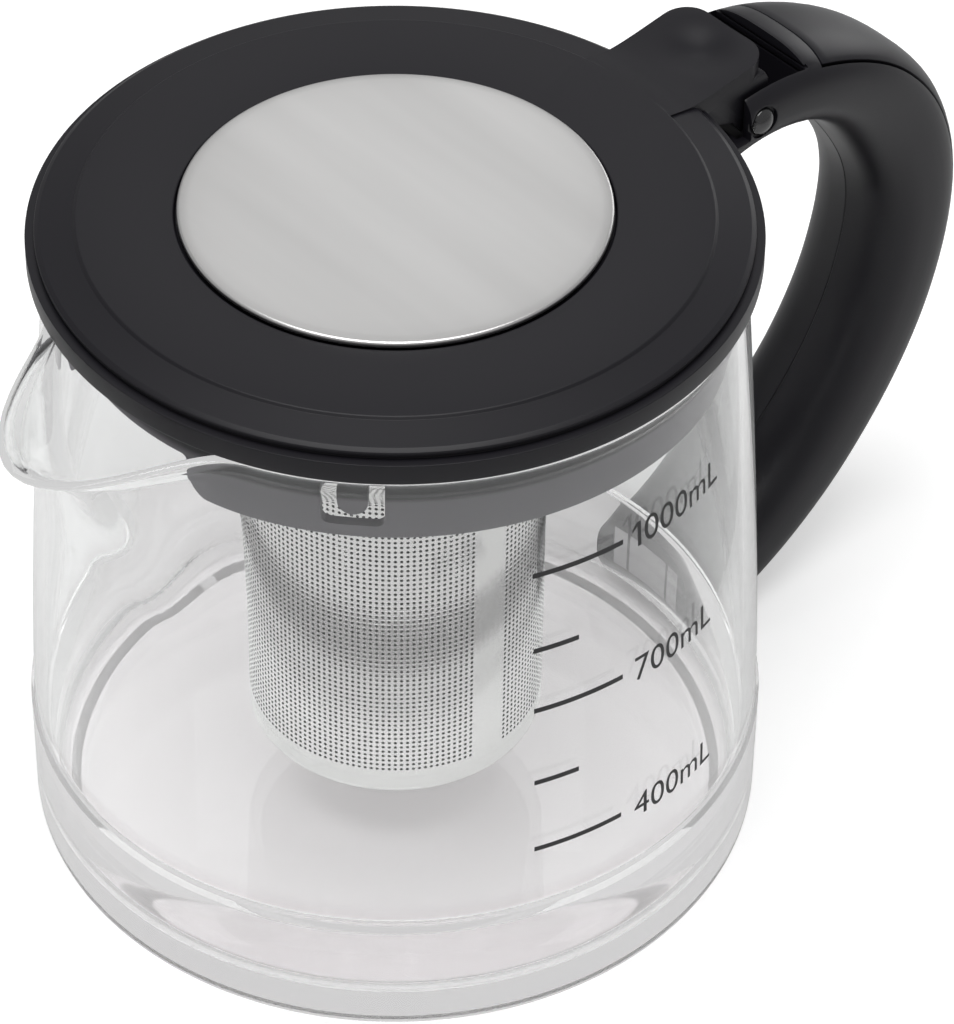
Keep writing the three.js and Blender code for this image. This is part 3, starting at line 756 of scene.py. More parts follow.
@dataclass(frozen=True)
class ClearGlass(Finish):
    """Clear blown glass with faint waves, a tinted base and a dark band that only mirrored rays see: a painted
    reflection.

    A ray that is caught between the walls ends once, by its number of mirrorings or of steps, and there the glass
    glows with plain daylight: painted light.
    """

    index: float = 1.47
    clear: Colour = (0.985, 0.99, 0.988)
    tint: Colour = (0.915, 0.9, 0.907)
    tint_height: float = 30.0
    tint_end: float = 0.79
    # painted reflection: heights, as shares of the tint height, of a dark band that only mirrored rays see
    band: tuple[float, float] = (0.48, 0.88)
    painted_reflection_fade: tuple[float, float] = (0.03, 0.02)
    painted_reflection_tone: float = 0.54
    wave_scale: float = 26.0
    wave_strength: float = 0.05
    wave_depth: float = 1.0
    shadow_share: float = 0.93
    daylight: Colour = (0.95, 0.95, 0.95)
    rim_depth: int = 3
    painted_rim_light: float = 0.69
    room_depth: int = 8
    painted_room_light: float = 1.6

    def build(self, tree: bpy.types.NodeTree, shader: bpy.types.Node) -> None:
        """Full transmission; shadow rays mostly pass, and a caught ray ends on the glass's painted glow of daylight.

        Args:
            tree: The material's tree.
            shader: Its shader.
        """
        ray = tree.nodes.new("ShaderNodeLightPath").outputs
        reckon = partial(Shading.reckon, tree)
        past_room, at_room = self.reached(tree, ray["Ray Depth"], self.room_depth)
        past_rim, at_rim = self.reached(tree, ray["Glossy Depth"], self.rim_depth)
        # painted light: the glass glows where a ray is caught, in place of the light that the ray would still find
        rim = reckon("MULTIPLY", at_rim, self.painted_rim_light)
        room = reckon("MULTIPLY", reckon("SUBTRACT", at_room, past_rim, clamp=True), self.painted_room_light)
        caught = reckon("MAXIMUM", past_room, past_rim)
        waves = Shading.noise(tree, Shading.where(tree), self.wave_scale, 1.0)
        Shading.feed(tree, shader, {
            "Base Color": Shading.mix(tree, caught, self.tone(tree, ray["Glossy Depth"]), (0, 0, 0, 1)),
            "Roughness": 0.0,
            "IOR": self.index,
            "Transmission Weight": 1.0,
            "Alpha": reckon("MULTIPLY_ADD", ray["Is Shadow Ray"], -self.shadow_share, 1.0),
            "Normal": self.bump(tree, waves, self.wave_strength, self.wave_depth),
            "Emission Color": (*self.daylight, 1),
            "Emission Strength": reckon("MAXIMUM", rim, room),
        })

    def tone(self, tree: bpy.types.NodeTree, mirrorings: bpy.types.NodeSocket) -> bpy.types.NodeSocket:
        """Colour by height: the tinted base, or for a mirrored ray the dark band of the painted reflection.

        Args:
            tree: The material's tree.
            mirrorings: How often the ray was mirrored.

        Returns:
            The colour.
        """
        share = Shading.height_share(tree, 0.0, self.tint_height)
        tinted = Shading.ramp(tree, share, [(0.0, self.tint), (self.tint_end, self.tint), (1.0, self.clear)])
        # painted reflection: mirrored rays see a dark band here, which darkens the basket's reflection of the glass
        (low, high), (rise, fall), dark = self.band, self.painted_reflection_fade, (self.painted_reflection_tone,) * 3
        painted_reflection = Shading.ramp(tree, share, [(0.0, self.clear), (low - rise, self.clear), (low, dark), (high, dark),
                                            (high + fall, self.clear), (1.0, self.clear)])
        return Shading.mix(tree, Shading.reckon(tree, "GREATER_THAN", mirrorings, 0.5), tinted, painted_reflection)

    @staticmethod
    def reached(tree: bpy.types.NodeTree, count: bpy.types.NodeSocket, depth: int) -> tuple[Feed, Feed]:
        """Tests of how deep a ray is.

        Args:
            tree: The material's tree.
            count: How often the ray was mirrored or passed on.
            depth: Depth that it is held against.

        Returns:
            Two values that are 1 from the depth on, and 1 exactly at the depth.
        """
        return (Shading.reckon(tree, "GREATER_THAN", count, depth - 0.5),
                Shading.reckon(tree, "COMPARE", count, depth, 0.5))


@dataclass(frozen=True)
class PrintedInk(Finish):
    """Dark ink of the volume marks."""

    dark: Colour = (0.008, 0.008, 0.009)
    worn: Colour = (0.018, 0.018, 0.02)
    roughness: float = 0.55

    def build(self, tree: bpy.types.NodeTree, shader: bpy.types.Node) -> None:
        """Fired ink with a slightly uneven tone.

        Args:
            tree: The material's tree.
            shader: Its shader.
        """
        spots = Shading.noise(tree, Shading.where(tree), 900.0, 2.0)
        tone = Shading.ramp(tree, spots, [(0.0, self.dark), (1.0, self.worn)])
        Shading.feed(tree, shader, {"Base Color": tone, "Roughness": self.roughness})


@dataclass(frozen=True)
class SheetSteel(Finish):
    """Thin stainless sheet of the basket."""

    label: str = ""
    colour: Colour = (0.66, 0.655, 0.65)
    gloss: float = 0.12

    def build(self, tree: bpy.types.NodeTree, shader: bpy.types.Node) -> None:
        """Pale metal with slightly uneven gloss.

        Args:
            tree: The material's tree.
            shader: Its shader.
        """
        skin = self.place(tree, Shading.moulded_skin, Gloss=self.gloss, Change=0.06)
        Shading.feed(tree, shader, {
            "Base Color": (*self.colour, 1), "Metallic": 1.0, "Roughness": skin["Roughness"],
        })


@dataclass(frozen=True)
class BrushedSteel(Finish):
    """Stainless disc, brushed in one direction."""

    dark: Colour = (0.6, 0.595, 0.59)
    light: Colour = (0.7, 0.695, 0.69)
    roughness: float = 0.32

    def build(self, tree: bpy.types.NodeTree, shader: bpy.types.Node) -> None:
        """Lines in tone and relief along the brushing.

        Args:
            tree: The material's tree.
            shader: Its shader.
        """
        lines = self.place(tree, Shading.brushed_lines)
        Shading.feed(tree, shader, {
            "Base Color": Shading.ramp(tree, lines["Tone"], [(0.3, self.dark), (0.7, self.light)]),
            "Metallic": 1.0,
            "Roughness": self.roughness,
            "Normal": self.bump(tree, lines["Height"], 0.25, 0.02),
        })


@dataclass(frozen=True)
class CuredBond(Finish):
    """Cured adhesive between glass and bracket."""

    colour: Colour = (0.3, 0.3, 0.305)

    def build(self, tree: bpy.types.NodeTree, shader: bpy.types.Node) -> None:
        """Pale and slightly mottled.

        Args:
            tree: The material's tree.
            shader: Its shader.
        """
        skin = self.place(tree, Shading.moulded_skin, Gloss=0.7, Grain=700.0, Change=0.1)
        Shading.feed(tree, shader, {
            "Base Color": (*self.colour, 1),
            "Roughness": skin["Roughness"],
            "Normal": self.bump(tree, skin["Height"], 0.2, 0.05),
        })


HANDLE_PLASTIC = BlackPlastic("Handle", level=0.3)
SCREW_STEEL = SheetSteel("Screw", (0.6, 0.6, 0.6), 0.3)


# Sub-assemblies


def fit(piece: bpy.types.Object, finish: Finish, body: Body, slot: Slot, *nodes: str) -> bpy.types.Object:
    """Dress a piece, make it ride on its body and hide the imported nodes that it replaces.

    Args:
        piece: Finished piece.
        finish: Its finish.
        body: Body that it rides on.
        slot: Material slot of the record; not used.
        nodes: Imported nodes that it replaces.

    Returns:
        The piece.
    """
    finish.dress(piece)
    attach(piece, body.value)
    if nodes:
        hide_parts(*nodes)
    LOG.info("%s: %d faces on %s", piece.name, len(piece.data.polygons), body.value)
    return piece


@dataclass
class GlassJug:
    """The blown glass body with its spout, and the marks printed on it."""

    height: float = 116.2
    wall: float = 2.2
    base_wall: float = 3.4
    floor: float = 5.0
    base_radius: float = 63.1
    ledge_inset: float = 0.6
    ledge_rise: float = 1.2
    mouth_inset: float = 5.9
    heel: float = 3.6
    push_up: float = 0.7
    foot_radius: float = 56.5
    floor_corner: float = 6.0
    bead: float = 0.75
    bead_height: float = 114.9
    bead_spread: float = 1.15
    ledge: float = 24.7
    ledge_drop: float = 0.8
    ledge_corner: float = 0.45
    taper: float = 1.35
    spout_reach: float = 76.7
    spout_depth: float = 38.0
    spout_dip: float = 4.4
    spout_half_angle: float = 27.0
    width_power: float = 2.3
    depth_power: float = 2.0
    dip_power: float = 1.6
    foot_shares: tuple[float, ...] = (0.0, 0.3, 0.6, 0.8, 0.92, 1.0)
    wall_steps: int = 40
    lip_step: float = 0.3
    segments: int = 192

    @property
    def mouth_radius(self) -> float:
        """Outer radius at the mouth."""
        return self.base_radius - self.ledge_inset - self.mouth_inset

    def radius(self, height: float) -> float:
        """Outer radius away from the spout.

        Args:
            height: Height in millimetres.

        Returns:
            Radius in millimetres.
        """
        shoulder = min(1.0, max(0.0, (height - self.ledge + self.ledge_rise) / self.ledge_rise))
        rise = max(0.0, (height - self.ledge) / (self.height - self.ledge))
        return self.base_radius - self.ledge_inset * shoulder - self.mouth_inset * rise ** self.taper

    def swell(self, height: float) -> float:
        """How far the bead under the lip stands out at a height, in millimetres."""
        return self.bead * math.exp(-((height - self.bead_height) / self.bead_spread) ** 2)

    def pulled(self, point: Vector) -> Vector:
        """Place of a point of the glass after the spout is pulled out.

        Args:
            point: Place in millimetres on the round jug.

        Returns:
            Its place on the finished jug.
        """
        half = math.radians(self.spout_half_angle)
        off = abs(math.atan2(point.y, -point.x))
        depth = max(0.0, (point.z - (self.height - self.spout_depth)) / self.spout_depth)
        if off >= half or depth <= 0:
            return point
        pull = math.cos(off / half * math.pi / 2) ** self.width_power * depth ** self.depth_power
        radius = math.hypot(point.x, point.y)
        moved = radius + (self.spout_reach - self.mouth_radius) * pull
        dip = self.spout_dip * pull ** self.dip_power
        return Vector((point.x * moved / radius, point.y * moved / radius, point.z - dip))

    def outline(self) -> list[tuple[float, float]]:
        """Outline of the whole glass: underside, outside, lip, inside and floor.

        Returns:
            (radius, height) points in millimetres.
        """
        lip = self.wall / 2
        top = self.height - lip
        heights = [self.ledge + (top - self.ledge) * step / self.wall_steps for step in range(self.wall_steps - 1)]
        heights += [top - self.lip_step * (12 - step) for step in range(13)]
        inner = self.base_radius - self.base_wall
        foot = self.ledge - self.ledge_rise
        shoulder = rounded([
            (self.base_radius, self.heel + 1, 0), (self.base_radius, foot, self.ledge_corner),
            (self.radius(self.ledge), self.ledge, self.ledge_corner), (self.radius(heights[1]), heights[1], 0)], 5)
        return [
            *[(share * self.foot_radius, self.push_up * (1 - share ** 2)) for share in self.foot_shares],
            *arc((self.base_radius - self.heel, self.heel), self.heel, -90, 0, 9),
            *shoulder[1:-1],
            *[(self.radius(height) + self.swell(height), height) for height in heights[1:]],
            *arc((self.radius(top) + self.swell(top) - lip, top), lip, 20, 90, 5),
            *arc((self.radius(top) - lip, top), lip, 90, 160, 5),
            *[(self.radius(height) - self.wall, height) for height in reversed(heights)],
            (inner + 0.25, self.ledge - 0.25 * self.ledge_drop),
            (inner, self.ledge - self.ledge_drop),
            *arc((inner - self.floor_corner, self.floor + self.floor_corner), self.floor_corner, 0, -90, 8),
            (0.0, self.floor),
        ]

    def blow(self) -> bpy.types.Object:
        """Turn the glass and pull its spout.

        Returns:
            The glass.
        """
        glass = Bench.turned("jug_glass_blown", self.outline(), self.segments)
        for vertex in glass.data.vertices:
            vertex.co = self.pulled(vertex.co / MM) * MM
        Bench.smooth(glass, 35)
        return fit(glass, ClearGlass(), Body.JUG, Slot.GLASS, "jug_glass")


@dataclass
class VolumeMarks:
    """Printed lines and numbers that show the volume."""

    jug: GlassJug
    proud: float = 0.04
    ink: float = 0.02
    line_start: float = -109.0
    long_line: float = 16.5
    short_line: float = 8.0
    line_width: float = 0.95
    text_start: float = -91.2
    text_height: float = 5.1
    text_scale: float = 1.38
    letter_gap: float = 1.02
    first_gap: float = 0.9
    first_stem: float = 1.2
    flag_points: Outline = ((0.0, 0.0), (-1.15, -1.2), (-1.15, -1.75), (0.0, -0.75))
    marks: tuple[tuple[float, str], ...] = (
        (95.0, "1000mL"), (80.0, ""), (67.7, "700mL"), (52.5, ""), (38.0, "400mL"),
    )

    def wrap(self, piece: bpy.types.Object, start: float, height: float) -> None:
        """Wrap a flat print round the glass.

        Args:
            piece: Flat print: X along the girth, Y up, Z out of the glass.
            start: Azimuth of the print's left end, in degrees.
            height: Height of the print's baseline.
        """
        for vertex in piece.data.vertices:
            across, up, out = vertex.co / MM
            radius = self.jug.radius(height + up) + self.proud + out
            angle = math.radians(start) + across / radius
            vertex.co = Vector((radius * math.cos(angle), radius * math.sin(angle), height + up)) * MM

    def line(self, name: str, length: float) -> bpy.types.Object:
        """A flat printed line, cut into short lengths so that it can wrap.

        Args:
            name: Name of the piece.
            length: Length in millimetres.

        Returns:
            The line.
        """
        piece = Bench.grid(name, (24, 1), (0, -self.line_width / 2), (length, self.line_width / 2))
        with Bench.editing(piece):
            Bench.extrude((0, 0, self.ink))
            Bench.tidy_open()
        return piece

    def number(self, name: str, words: str) -> bpy.types.Object:
        """A printed volume as a thin mesh, cut into short lengths so that it can wrap.

        Args:
            name: Name of the piece.
            words: The number and its unit.

        Returns:
            The number.
        """
        bpy.ops.object.text_add()
        text = bpy.context.object.data
        text.body = words
        text.size = self.text_height * self.text_scale * MM
        text.space_character = self.letter_gap
        text.extrude = self.ink / 2 * MM
        text.resolution_u = 5
        bpy.ops.object.convert(target="MESH")
        piece = Bench.begin(name)
        if words.startswith("1"):
            self.add_flag(piece)
        right = max(vertex.co.x for vertex in piece.data.vertices)
        with Bench.editing(piece):
            cut = MM
            while cut < right:
                bpy.ops.mesh.select_all(action="SELECT")
                bpy.ops.mesh.bisect(plane_co=(cut, 0, 0), plane_no=(1, 0, 0))
                cut += MM
            Bench.tidy_open()
        return piece

    def add_flag(self, piece: bpy.types.Object) -> None:
        """Join the slanted flag to the first digit's plain stem, and close the wide gap after it.

        Args:
            piece: The number, flat.
        """
        top = max(vertex.co.y for vertex in piece.data.vertices) / MM
        stem = min(vertex.co.x for vertex in piece.data.vertices) / MM
        for vertex in piece.data.vertices:
            if vertex.co.x > (stem + self.first_stem) * MM:
                vertex.co.x -= self.first_gap * MM
        outline = [(stem + across, top + up) for across, up in self.flag_points]
        flag = Bench.prism("flag", outline, (-self.ink / 2, self.ink / 2), Axis.Z)
        Bench.focus(piece, flag)
        bpy.ops.object.join()

    def print_all(self) -> None:
        """Print every mark on the glass."""
        for index, (height, words) in enumerate(self.marks, 1):
            line = self.line(f"mark_line_{index}", self.long_line if words else self.short_line)
            self.wrap(line, self.line_start, height)
            fit(line, PrintedInk(), Body.JUG, Slot.PLASTIC)
            if words:
                number = self.number(f"mark_number_{index}", words)
                self.wrap(number, self.text_start, height - self.text_height / 2)
                fit(number, PrintedInk(), Body.JUG, Slot.PLASTIC)


@dataclass
class CarrierRing:
    """The ring in the mouth, grey on its skirt, that carries the basket."""

    skirt: float = 54.0
    wall: float = 1.8
    bottom: float = 103.2
    flange: float = 56.4
    flange_low: float = 116.5
    flange_top: float = 117.6
    deck_low: float = 114.8
    deck_top: float = 116.2
    collar_inner: float = 26.3
    collar_wall: float = 1.8
    collar_low: float = 106.2
    stop: float = 25.1
    notch_half: float = 15.8
    notch_corner: float = 5.0
    roof_corner: float = 1.2
    notch_top: float = 110.2
    notch_azimuth: float = 176.0
    window_half: float = 4.9
    window_low: float = 105.7
    window_top: float = 114.2
    window_corner: float = 1.4
    tongue_half: float = 2.35
    tongue_low: float = 107.9
    window_azimuths: tuple[float, float] = (-137.2, 42.8)
    segments: int = 160

    def window(self, azimuth: float) -> bpy.types.Object:
        """Cutter for one window, with the hanging tongue left standing.

        Args:
            azimuth: Direction of the window in degrees.

        Returns:
            The cutter.
        """
        half, top = self.window_half, self.window_top
        outline = rounded([(-half, top, 0), (-half, self.window_low, self.window_corner),
                           (half, self.window_low, self.window_corner), (half, top, 0)], 6)
        opening = Bench.prism("window", outline, (self.skirt - 4, self.skirt + 2), Axis.X)
        tongue_arc = arc((0, self.tongue_low + self.tongue_half), self.tongue_half, 180, 360, 14)
        tongue = Bench.prism("tongue", [(-self.tongue_half, top + 1), *tongue_arc, (self.tongue_half, top + 1)],
                             (self.skirt - 5, self.skirt + 3), Axis.X)
        Bench.combine(opening, Join.CUT, tongue)
        self.face(opening, azimuth)
        return opening

    @staticmethod
    def face(piece: bpy.types.Object, azimuth: float) -> None:
        """Turn a piece drawn on +X about the ring's axis to an azimuth in degrees."""
        piece.rotation_euler = (0, 0, math.radians(azimuth))
        Bench.settle(piece)

    def mould(self) -> bpy.types.Object:
        """Turn the ring, then cut its notch at the spout and its two windows.

        Returns:
            The ring.
        """
        inner = self.skirt - self.wall
        outline = rounded([
            (self.skirt, self.bottom, 0.5), (self.skirt, self.flange_low, 0.3), (self.flange, self.flange_low, 0.3),
            (self.flange, self.flange_top, 0.4), (inner, self.flange_top, 0.4), (inner, self.deck_top, 0.5),
            (self.stop, self.deck_top, 0.4), (self.stop, self.deck_low, 0.3), (self.collar_inner, self.deck_low, 0.1),
            (self.collar_inner, self.collar_low, 0.4), (self.collar_inner + self.collar_wall, self.collar_low, 0.4),
            (self.collar_inner + self.collar_wall, self.deck_low, 0.5), (inner, self.deck_low, 0.5),
            (inner, self.bottom, 0.5),
        ], 3, closed=True)
        ring = Bench.turned("carrier_ring_moulded", outline, self.segments)
        half, corner, top = self.notch_half, self.notch_corner, self.notch_top
        side = arc((half + corner, self.bottom + corner), corner, 180, 270, 8)
        roof = rounded([(half, self.bottom + corner, 0), (half, top, self.roof_corner), (-half, top, self.roof_corner),
                        (-half, self.bottom + corner, 0)], 4)
        outline = [(half + corner, self.bottom - 2), *reversed(side), *roof[1:-1], *[(-y, z) for y, z in side],
                   (-half - corner, self.bottom - 2)]
        notch = Bench.prism("notch", outline, (inner - 3, self.flange + 2), Axis.X)
        self.face(notch, self.notch_azimuth)
        Bench.combine(ring, Join.CUT, notch, *[self.window(azimuth) for azimuth in self.window_azimuths])
        Bench.smooth(ring, 35)
        # the ring's finish paints shade on its top, under the lid
        return fit(ring, RingPlasticPaintedShade("Ring", gloss=0.5, level=0.3, grain=0.0), Body.JUG, Slot.PLASTIC, "infuser_ring")


@dataclass
class TeaBasket:
    """The perforated basket: four rolled panels, a plain seam, a cup and a hem."""

    radius: float = 25.4
    sheet: float = 0.3
    low: float = 22.9
    high: float = 111.0
    plain_low: float = 1.4
    columns: int = 156
    rows: int = 84
    quarters: int = 4
    hole: float = 0.54
    hole_corner: float = 0.28
    seam_azimuth: float = -93.0
    seam_columns: int = 6
    cup_low: float = 18.4
    cup_top: float = 22.88
    cup_corner: float = 2.6
    cup_sheet: float = 0.5
    hem_radius: float = 26.0
    hem_inner: float = 24.9
    hem_low: float = 111.3
    hem_top: float = 114.5
    outside: SheetSteel = SheetSteel()
    # painted shade: near-black, duller steel for the inner faces, since little light reaches them
    inside: SheetSteel = SheetSteel("Inside", (0.02, 0.0195, 0.0195), 0.5)

    def panel(self, index: int) -> bpy.types.Object:
        """One quarter of the wall: a grid, each hole inset, rounded and deleted, bent to its radius.

        Args:
            index: Quarter, from 0 to 3.

        Returns:
            The bent panel.
        """
        columns = self.columns // self.quarters
        pitch = math.tau * self.radius / self.columns
        piece = Bench.grid(f"basket_panel_{index + 1}", (columns, self.rows), (0, self.plain_low),
                           (columns * pitch, self.high - self.low))
        seam = (self.seam_azimuth % 360) / 360 * self.columns
        first = index * columns
        Bench.pick_faces(piece, lambda face: abs(first + face.center.x / MM / pitch - seam) > self.seam_columns / 2)
        with Bench.editing(piece, Pick.FACES, whole=False):
            bpy.ops.mesh.inset(thickness=(pitch - self.hole) / 2 * MM, use_individual=True, use_even_offset=True)
            bpy.ops.mesh.bevel(offset=self.hole * self.hole_corner * MM, affect="VERTICES", segments=1)
        Bench.pick_faces(piece, lambda face: len(face.vertices) == 8)
        with Bench.editing(piece, Pick.FACES, whole=False):
            bpy.ops.mesh.delete(type="FACE")
        piece.data.materials.append(self.outside.material())
        # the second material, on inner faces and rims, is the painted shade
        piece.data.materials.append(self.inside.material())
        Bench.apply(piece, "SOLIDIFY", thickness=self.sheet * MM, offset=-1.0, material_offset=1, material_offset_rim=1)
        for vertex in piece.data.vertices:
            across, up, out = vertex.co / MM
            angle = (first * pitch + across) / self.radius
            radius = self.radius + out
            vertex.co = Vector((radius * math.cos(angle), radius * math.sin(angle), self.low + up)) * MM
        return piece

    def hang(self) -> None:
        """Build and fit every piece of the basket; its inner faces get near-black steel, painted shade where little
        light reaches.
        """
        pieces = [(self.panel(index), "basket_wall") for index in range(self.quarters)]
        inner, top = self.radius - self.sheet, self.low + self.plain_low
        skirt = rounded([(self.radius, self.low, 0), (self.radius, top, 0), (inner, top, 0), (inner, self.low, 0)], 2,
                        closed=True)
        pieces.append((Bench.turned("basket_skirt", skirt, self.columns, 30), "basket_wall"))
        thick = self.cup_sheet
        cup = rounded([
            (0, self.cup_low, 0), (self.radius, self.cup_low, self.cup_corner), (self.radius, self.cup_top, 0),
            (self.radius - thick, self.cup_top, 0),
            (self.radius - thick, self.cup_low + thick, self.cup_corner - thick), (0, self.cup_low + thick, 0)], 10)
        pieces.append((Bench.turned("basket_cup", cup, self.columns, 50), "basket_bottom"))
        hem = rounded([
            (self.hem_radius, self.hem_low, 0.5), (self.hem_radius, self.hem_top, 0.6),
            (self.hem_inner, self.hem_top, 0.4), (self.hem_inner, self.hem_low, 0.4)], 4, closed=True)
        pieces.append((Bench.turned("basket_hem_rolled", hem, 120, 30), "basket_hem"))
        for piece, node in pieces:
            fit(piece, self.outside, Body.BASKET, Slot.MESH, node)


@dataclass
class HingedLid:
    """The lid: shell with thumb tab and lugs, brushed disc, underplate and screws."""

    radius: float = 59.1
    low: float = 117.9
    shoulder: float = 122.2
    flat: float = 124.8
    flat_radius: float = 51.0
    step: float = 0.45
    ledge: float = 1.5
    recess: float = 35.3
    recess_floor: float = 123.65
    disc_radius: float = 34.9
    disc_top: float = 126.05
    disc_low: float = 124.65
    crown: float = 0.35
    tab_start: float = 44.0
    tab_half: float = 10.3
    tab_end: float = 73.0
    tab_corner: float = 5.2
    tab_thick: float = 3.4
    tab_edge: float = 0.9
    dish: float = 1.5
    dish_place: float = 66.5
    dish_size: tuple[float, float] = (4.8, 5.5)
    pin: tuple[float, float] = HINGE
    barrel: float = 3.4
    lug_width: float = 4.6
    wall: float = 2.2
    border: float = 3.6
    plate_low: float = 116.5
    plate_top: float = 118.7
    plate_rim: float = 120.9
    plate_radius: float = 51.6
    plate_wall: float = 1.8
    screw_radius: float = 44.0
    boss: float = 4.0
    boss_bore: float = 1.35
    plate_bore: float = 1.45
    plate_sink: float = 2.55
    segments: int = 192

    def tab_height(self, x: float, y: float) -> float:
        """Height of the thumb tab's top: a band that leaves the flat, dips and rises to its end.

        Args:
            x: Distance from the jug's axis.
            y: Distance from the centre plane.

        Returns:
            Height in millimetres.
        """
        start = self.flat - 0.06 + 0.1 * smoothstep(x, self.tab_start, 51)
        rise = smoothstep(x, 54, self.tab_end + 1.5)
        middle = start - 0.9 * smoothstep(x, 50, 58) + 2.5 * rise
        edge = start - 0.8 * smoothstep(x, 48.5, 56) + 2.3 * rise
        share = min(1.0, abs(y) / self.tab_half)
        long, wide = self.dish_size
        dish = self.dish * math.exp(-(((x - self.dish_place) / long) ** 2 + (y / wide) ** 2))
        return middle + (edge - middle) * share ** 2.2 - dish

    def tab(self) -> bpy.types.Object:
        """The thumb tab as a solid band with rounded corners.

        Returns:
            The tab, ready to be joined to the shell.
        """
        start, half, end = self.tab_start, self.tab_half, self.tab_end
        top = Bench.grid("tab_top", (48, 36), (start, -half - 2), (end + 4, half + 2))
        for vertex in top.data.vertices:
            x, y, _ = vertex.co / MM
            vertex.co.z = self.tab_height(x, y) * MM
        with Bench.editing(top):
            Bench.extrude((0, 0, -self.tab_thick))
            Bench.tidy_open()
        corner = self.tab_corner
        plan = [(start, -half), *arc((end - corner, -half + corner), corner, -90, 0, 10),
                *arc((end - corner, half - corner), corner, 0, 90, 10), (start, half)]
        Bench.combine(top, Join.COMMON, Bench.prism("tab_plan", plan, (110, 130), Axis.Z))
        Bench.soften(top, self.tab_edge, 4, 50)
        return top

    def lug(self, side: int) -> bpy.types.Object:
        """One hinge lug with its barrel round the pin.

        Args:
            side: -1 or 1.

        Returns:
            The lug.
        """
        x, z = self.pin
        root = self.radius - 1.2
        outline = [(root, self.low + 0.4), (x - 4.6, z + 0.3), *arc((x, z), self.barrel, -125, 0, 14),
                   (x + self.barrel, self.shoulder - 0.5), (x + 2.4, self.shoulder + 1.2), (root, self.shoulder - 1)]
        outer = side * self.tab_half
        inner = side * (self.tab_half - self.lug_width)
        lug = Bench.prism("lug", outline, (min(inner, outer), max(inner, outer)), Axis.Y)
        Bench.soften(lug, 0.4, 2, 50)
        return lug

    def shell(self) -> bpy.types.Object:
        """Turn the shell and join its tab, lugs and bosses.

        Returns:
            The shell.
        """
        inner, ridge = self.radius - self.border, self.radius - self.ledge
        shoulder, under = self.shoulder, self.flat - self.wall
        outline = rounded([
            (0, self.recess_floor, 0), (self.recess, self.recess_floor, 0.3), (self.recess, self.flat, 0.35),
            (self.flat_radius, self.flat, 0.45), (self.flat_radius + 0.45, self.flat - self.step, 0.15),
            (ridge - 0.8, shoulder + 1.25, 0.4), (ridge, shoulder + 0.8, 0.3), (ridge, shoulder + 0.2, 0.1),
            (ridge - 0.5, shoulder - 0.1, 0.1), (ridge - 0.4, shoulder - 0.5, 0.1),
            (self.radius, shoulder - 0.45, 0.12), (self.radius, self.low, 0.4),
            (inner, self.low, 0.5), (inner, shoulder + 0.7 - self.wall, 0.6),
            (self.flat_radius - 0.4, under, 0.8), (self.recess + 1.6, under, 0.6),
            (self.recess, self.recess_floor - self.wall, 0.6), (0, self.recess_floor - self.wall, 0),
        ], 5)
        shell = Bench.turned("lid_shell_moulded", outline, self.segments)
        Bench.combine(shell, Join.ADD, self.tab(), self.lug(-1), self.lug(1))
        x, z = self.pin
        Bench.combine(shell, Join.CUT, Bench.rod("bore", HINGE_BORE, (x, -20, z), (x, 20, z), 32))
        for place in self.screw_places():
            boss = Bench.rod("boss", self.boss, (*place, self.plate_top + 0.3), (*place, self.flat - 1.2), 32)
            hole = Bench.rod("hole", self.boss_bore, (*place, self.plate_top - 1), (*place, under), 24)
            Bench.combine(shell, Join.ADD, boss)
            Bench.combine(shell, Join.CUT, hole)
        Bench.smooth(shell, 32)
        return fit(shell, BlackPlastic("Lid"), Body.LID, Slot.PLASTIC, "lid_cover")

    def screw_places(self) -> list[tuple[float, float]]:
        """Places in plan of the four lid screws."""
        angles = [(index + 0.5) / 4 * math.tau for index in range(4)]
        return [(self.screw_radius * math.cos(a), self.screw_radius * math.sin(a)) for a in angles]

    def disc(self) -> bpy.types.Object:
        """The brushed disc with its crown and its rolled edge.

        Returns:
            The disc.
        """
        radius, top = self.disc_radius, self.disc_top
        crown = [(radius * share, top - self.crown * share ** 4) for share in (0.0, 0.25, 0.5, 0.7, 0.85, 0.94)]
        edge = rounded([(radius * 0.94, top - 0.27, 0), (radius, top - 0.4, 0.7), (radius, self.disc_low, 0.2),
                        (0, self.disc_low, 0)], 7)
        disc = Bench.turned("lid_disc_brushed", [*crown, *edge[1:]], self.segments, 40)
        return fit(disc, BrushedSteel(), Body.LID, Slot.DISC, "lid_disc")

    def underplate(self) -> bpy.types.Object:
        """The dish that closes the lid from below, with its screw holes.

        Returns:
            The underplate.
        """
        low, top, radius = self.plate_low, self.plate_top, self.plate_radius
        inner = radius - self.plate_wall
        plate = Bench.turned("lid_underplate_moulded", rounded([
            (0, low, 0), (radius, low, 1.2), (radius, self.plate_rim, 0.4), (inner, self.plate_rim, 0.4),
            (inner, top, 0.8), (0, top, 0)], 5), 160)
        for place in self.screw_places():
            sink = Bench.rod("sink", self.plate_sink, (*place, low - 1), (*place, low + 1.4), 32)
            hole = Bench.rod("hole", self.plate_bore, (*place, low), (*place, top + 1), 24)
            Bench.combine(plate, Join.CUT, sink, hole)
        Bench.smooth(plate, 35)
        return fit(plate, BlackPlastic("Plate"), Body.LID, Slot.PLASTIC, "lid_underplate")

    def close(self) -> None:
        """Build and fit every piece of the lid."""
        self.shell()
        self.disc()
        self.underplate()
        screw = screw_shape("screw", head=2.2, head_height=1.2, shank=1.1, length=5.2)
        for index, place in enumerate(self.screw_places(), 1):
            piece = Bench.copy(screw, f"lid_screw_turned_{index}")
            piece.location = Vector((*place, self.plate_low + 0.1)) * MM
            Bench.settle(piece)
            fit(piece, SCREW_STEEL, Body.LID, Slot.SCREW, f"lid_screw_{index}")
        bpy.data.objects.remove(screw, do_unlink=True)


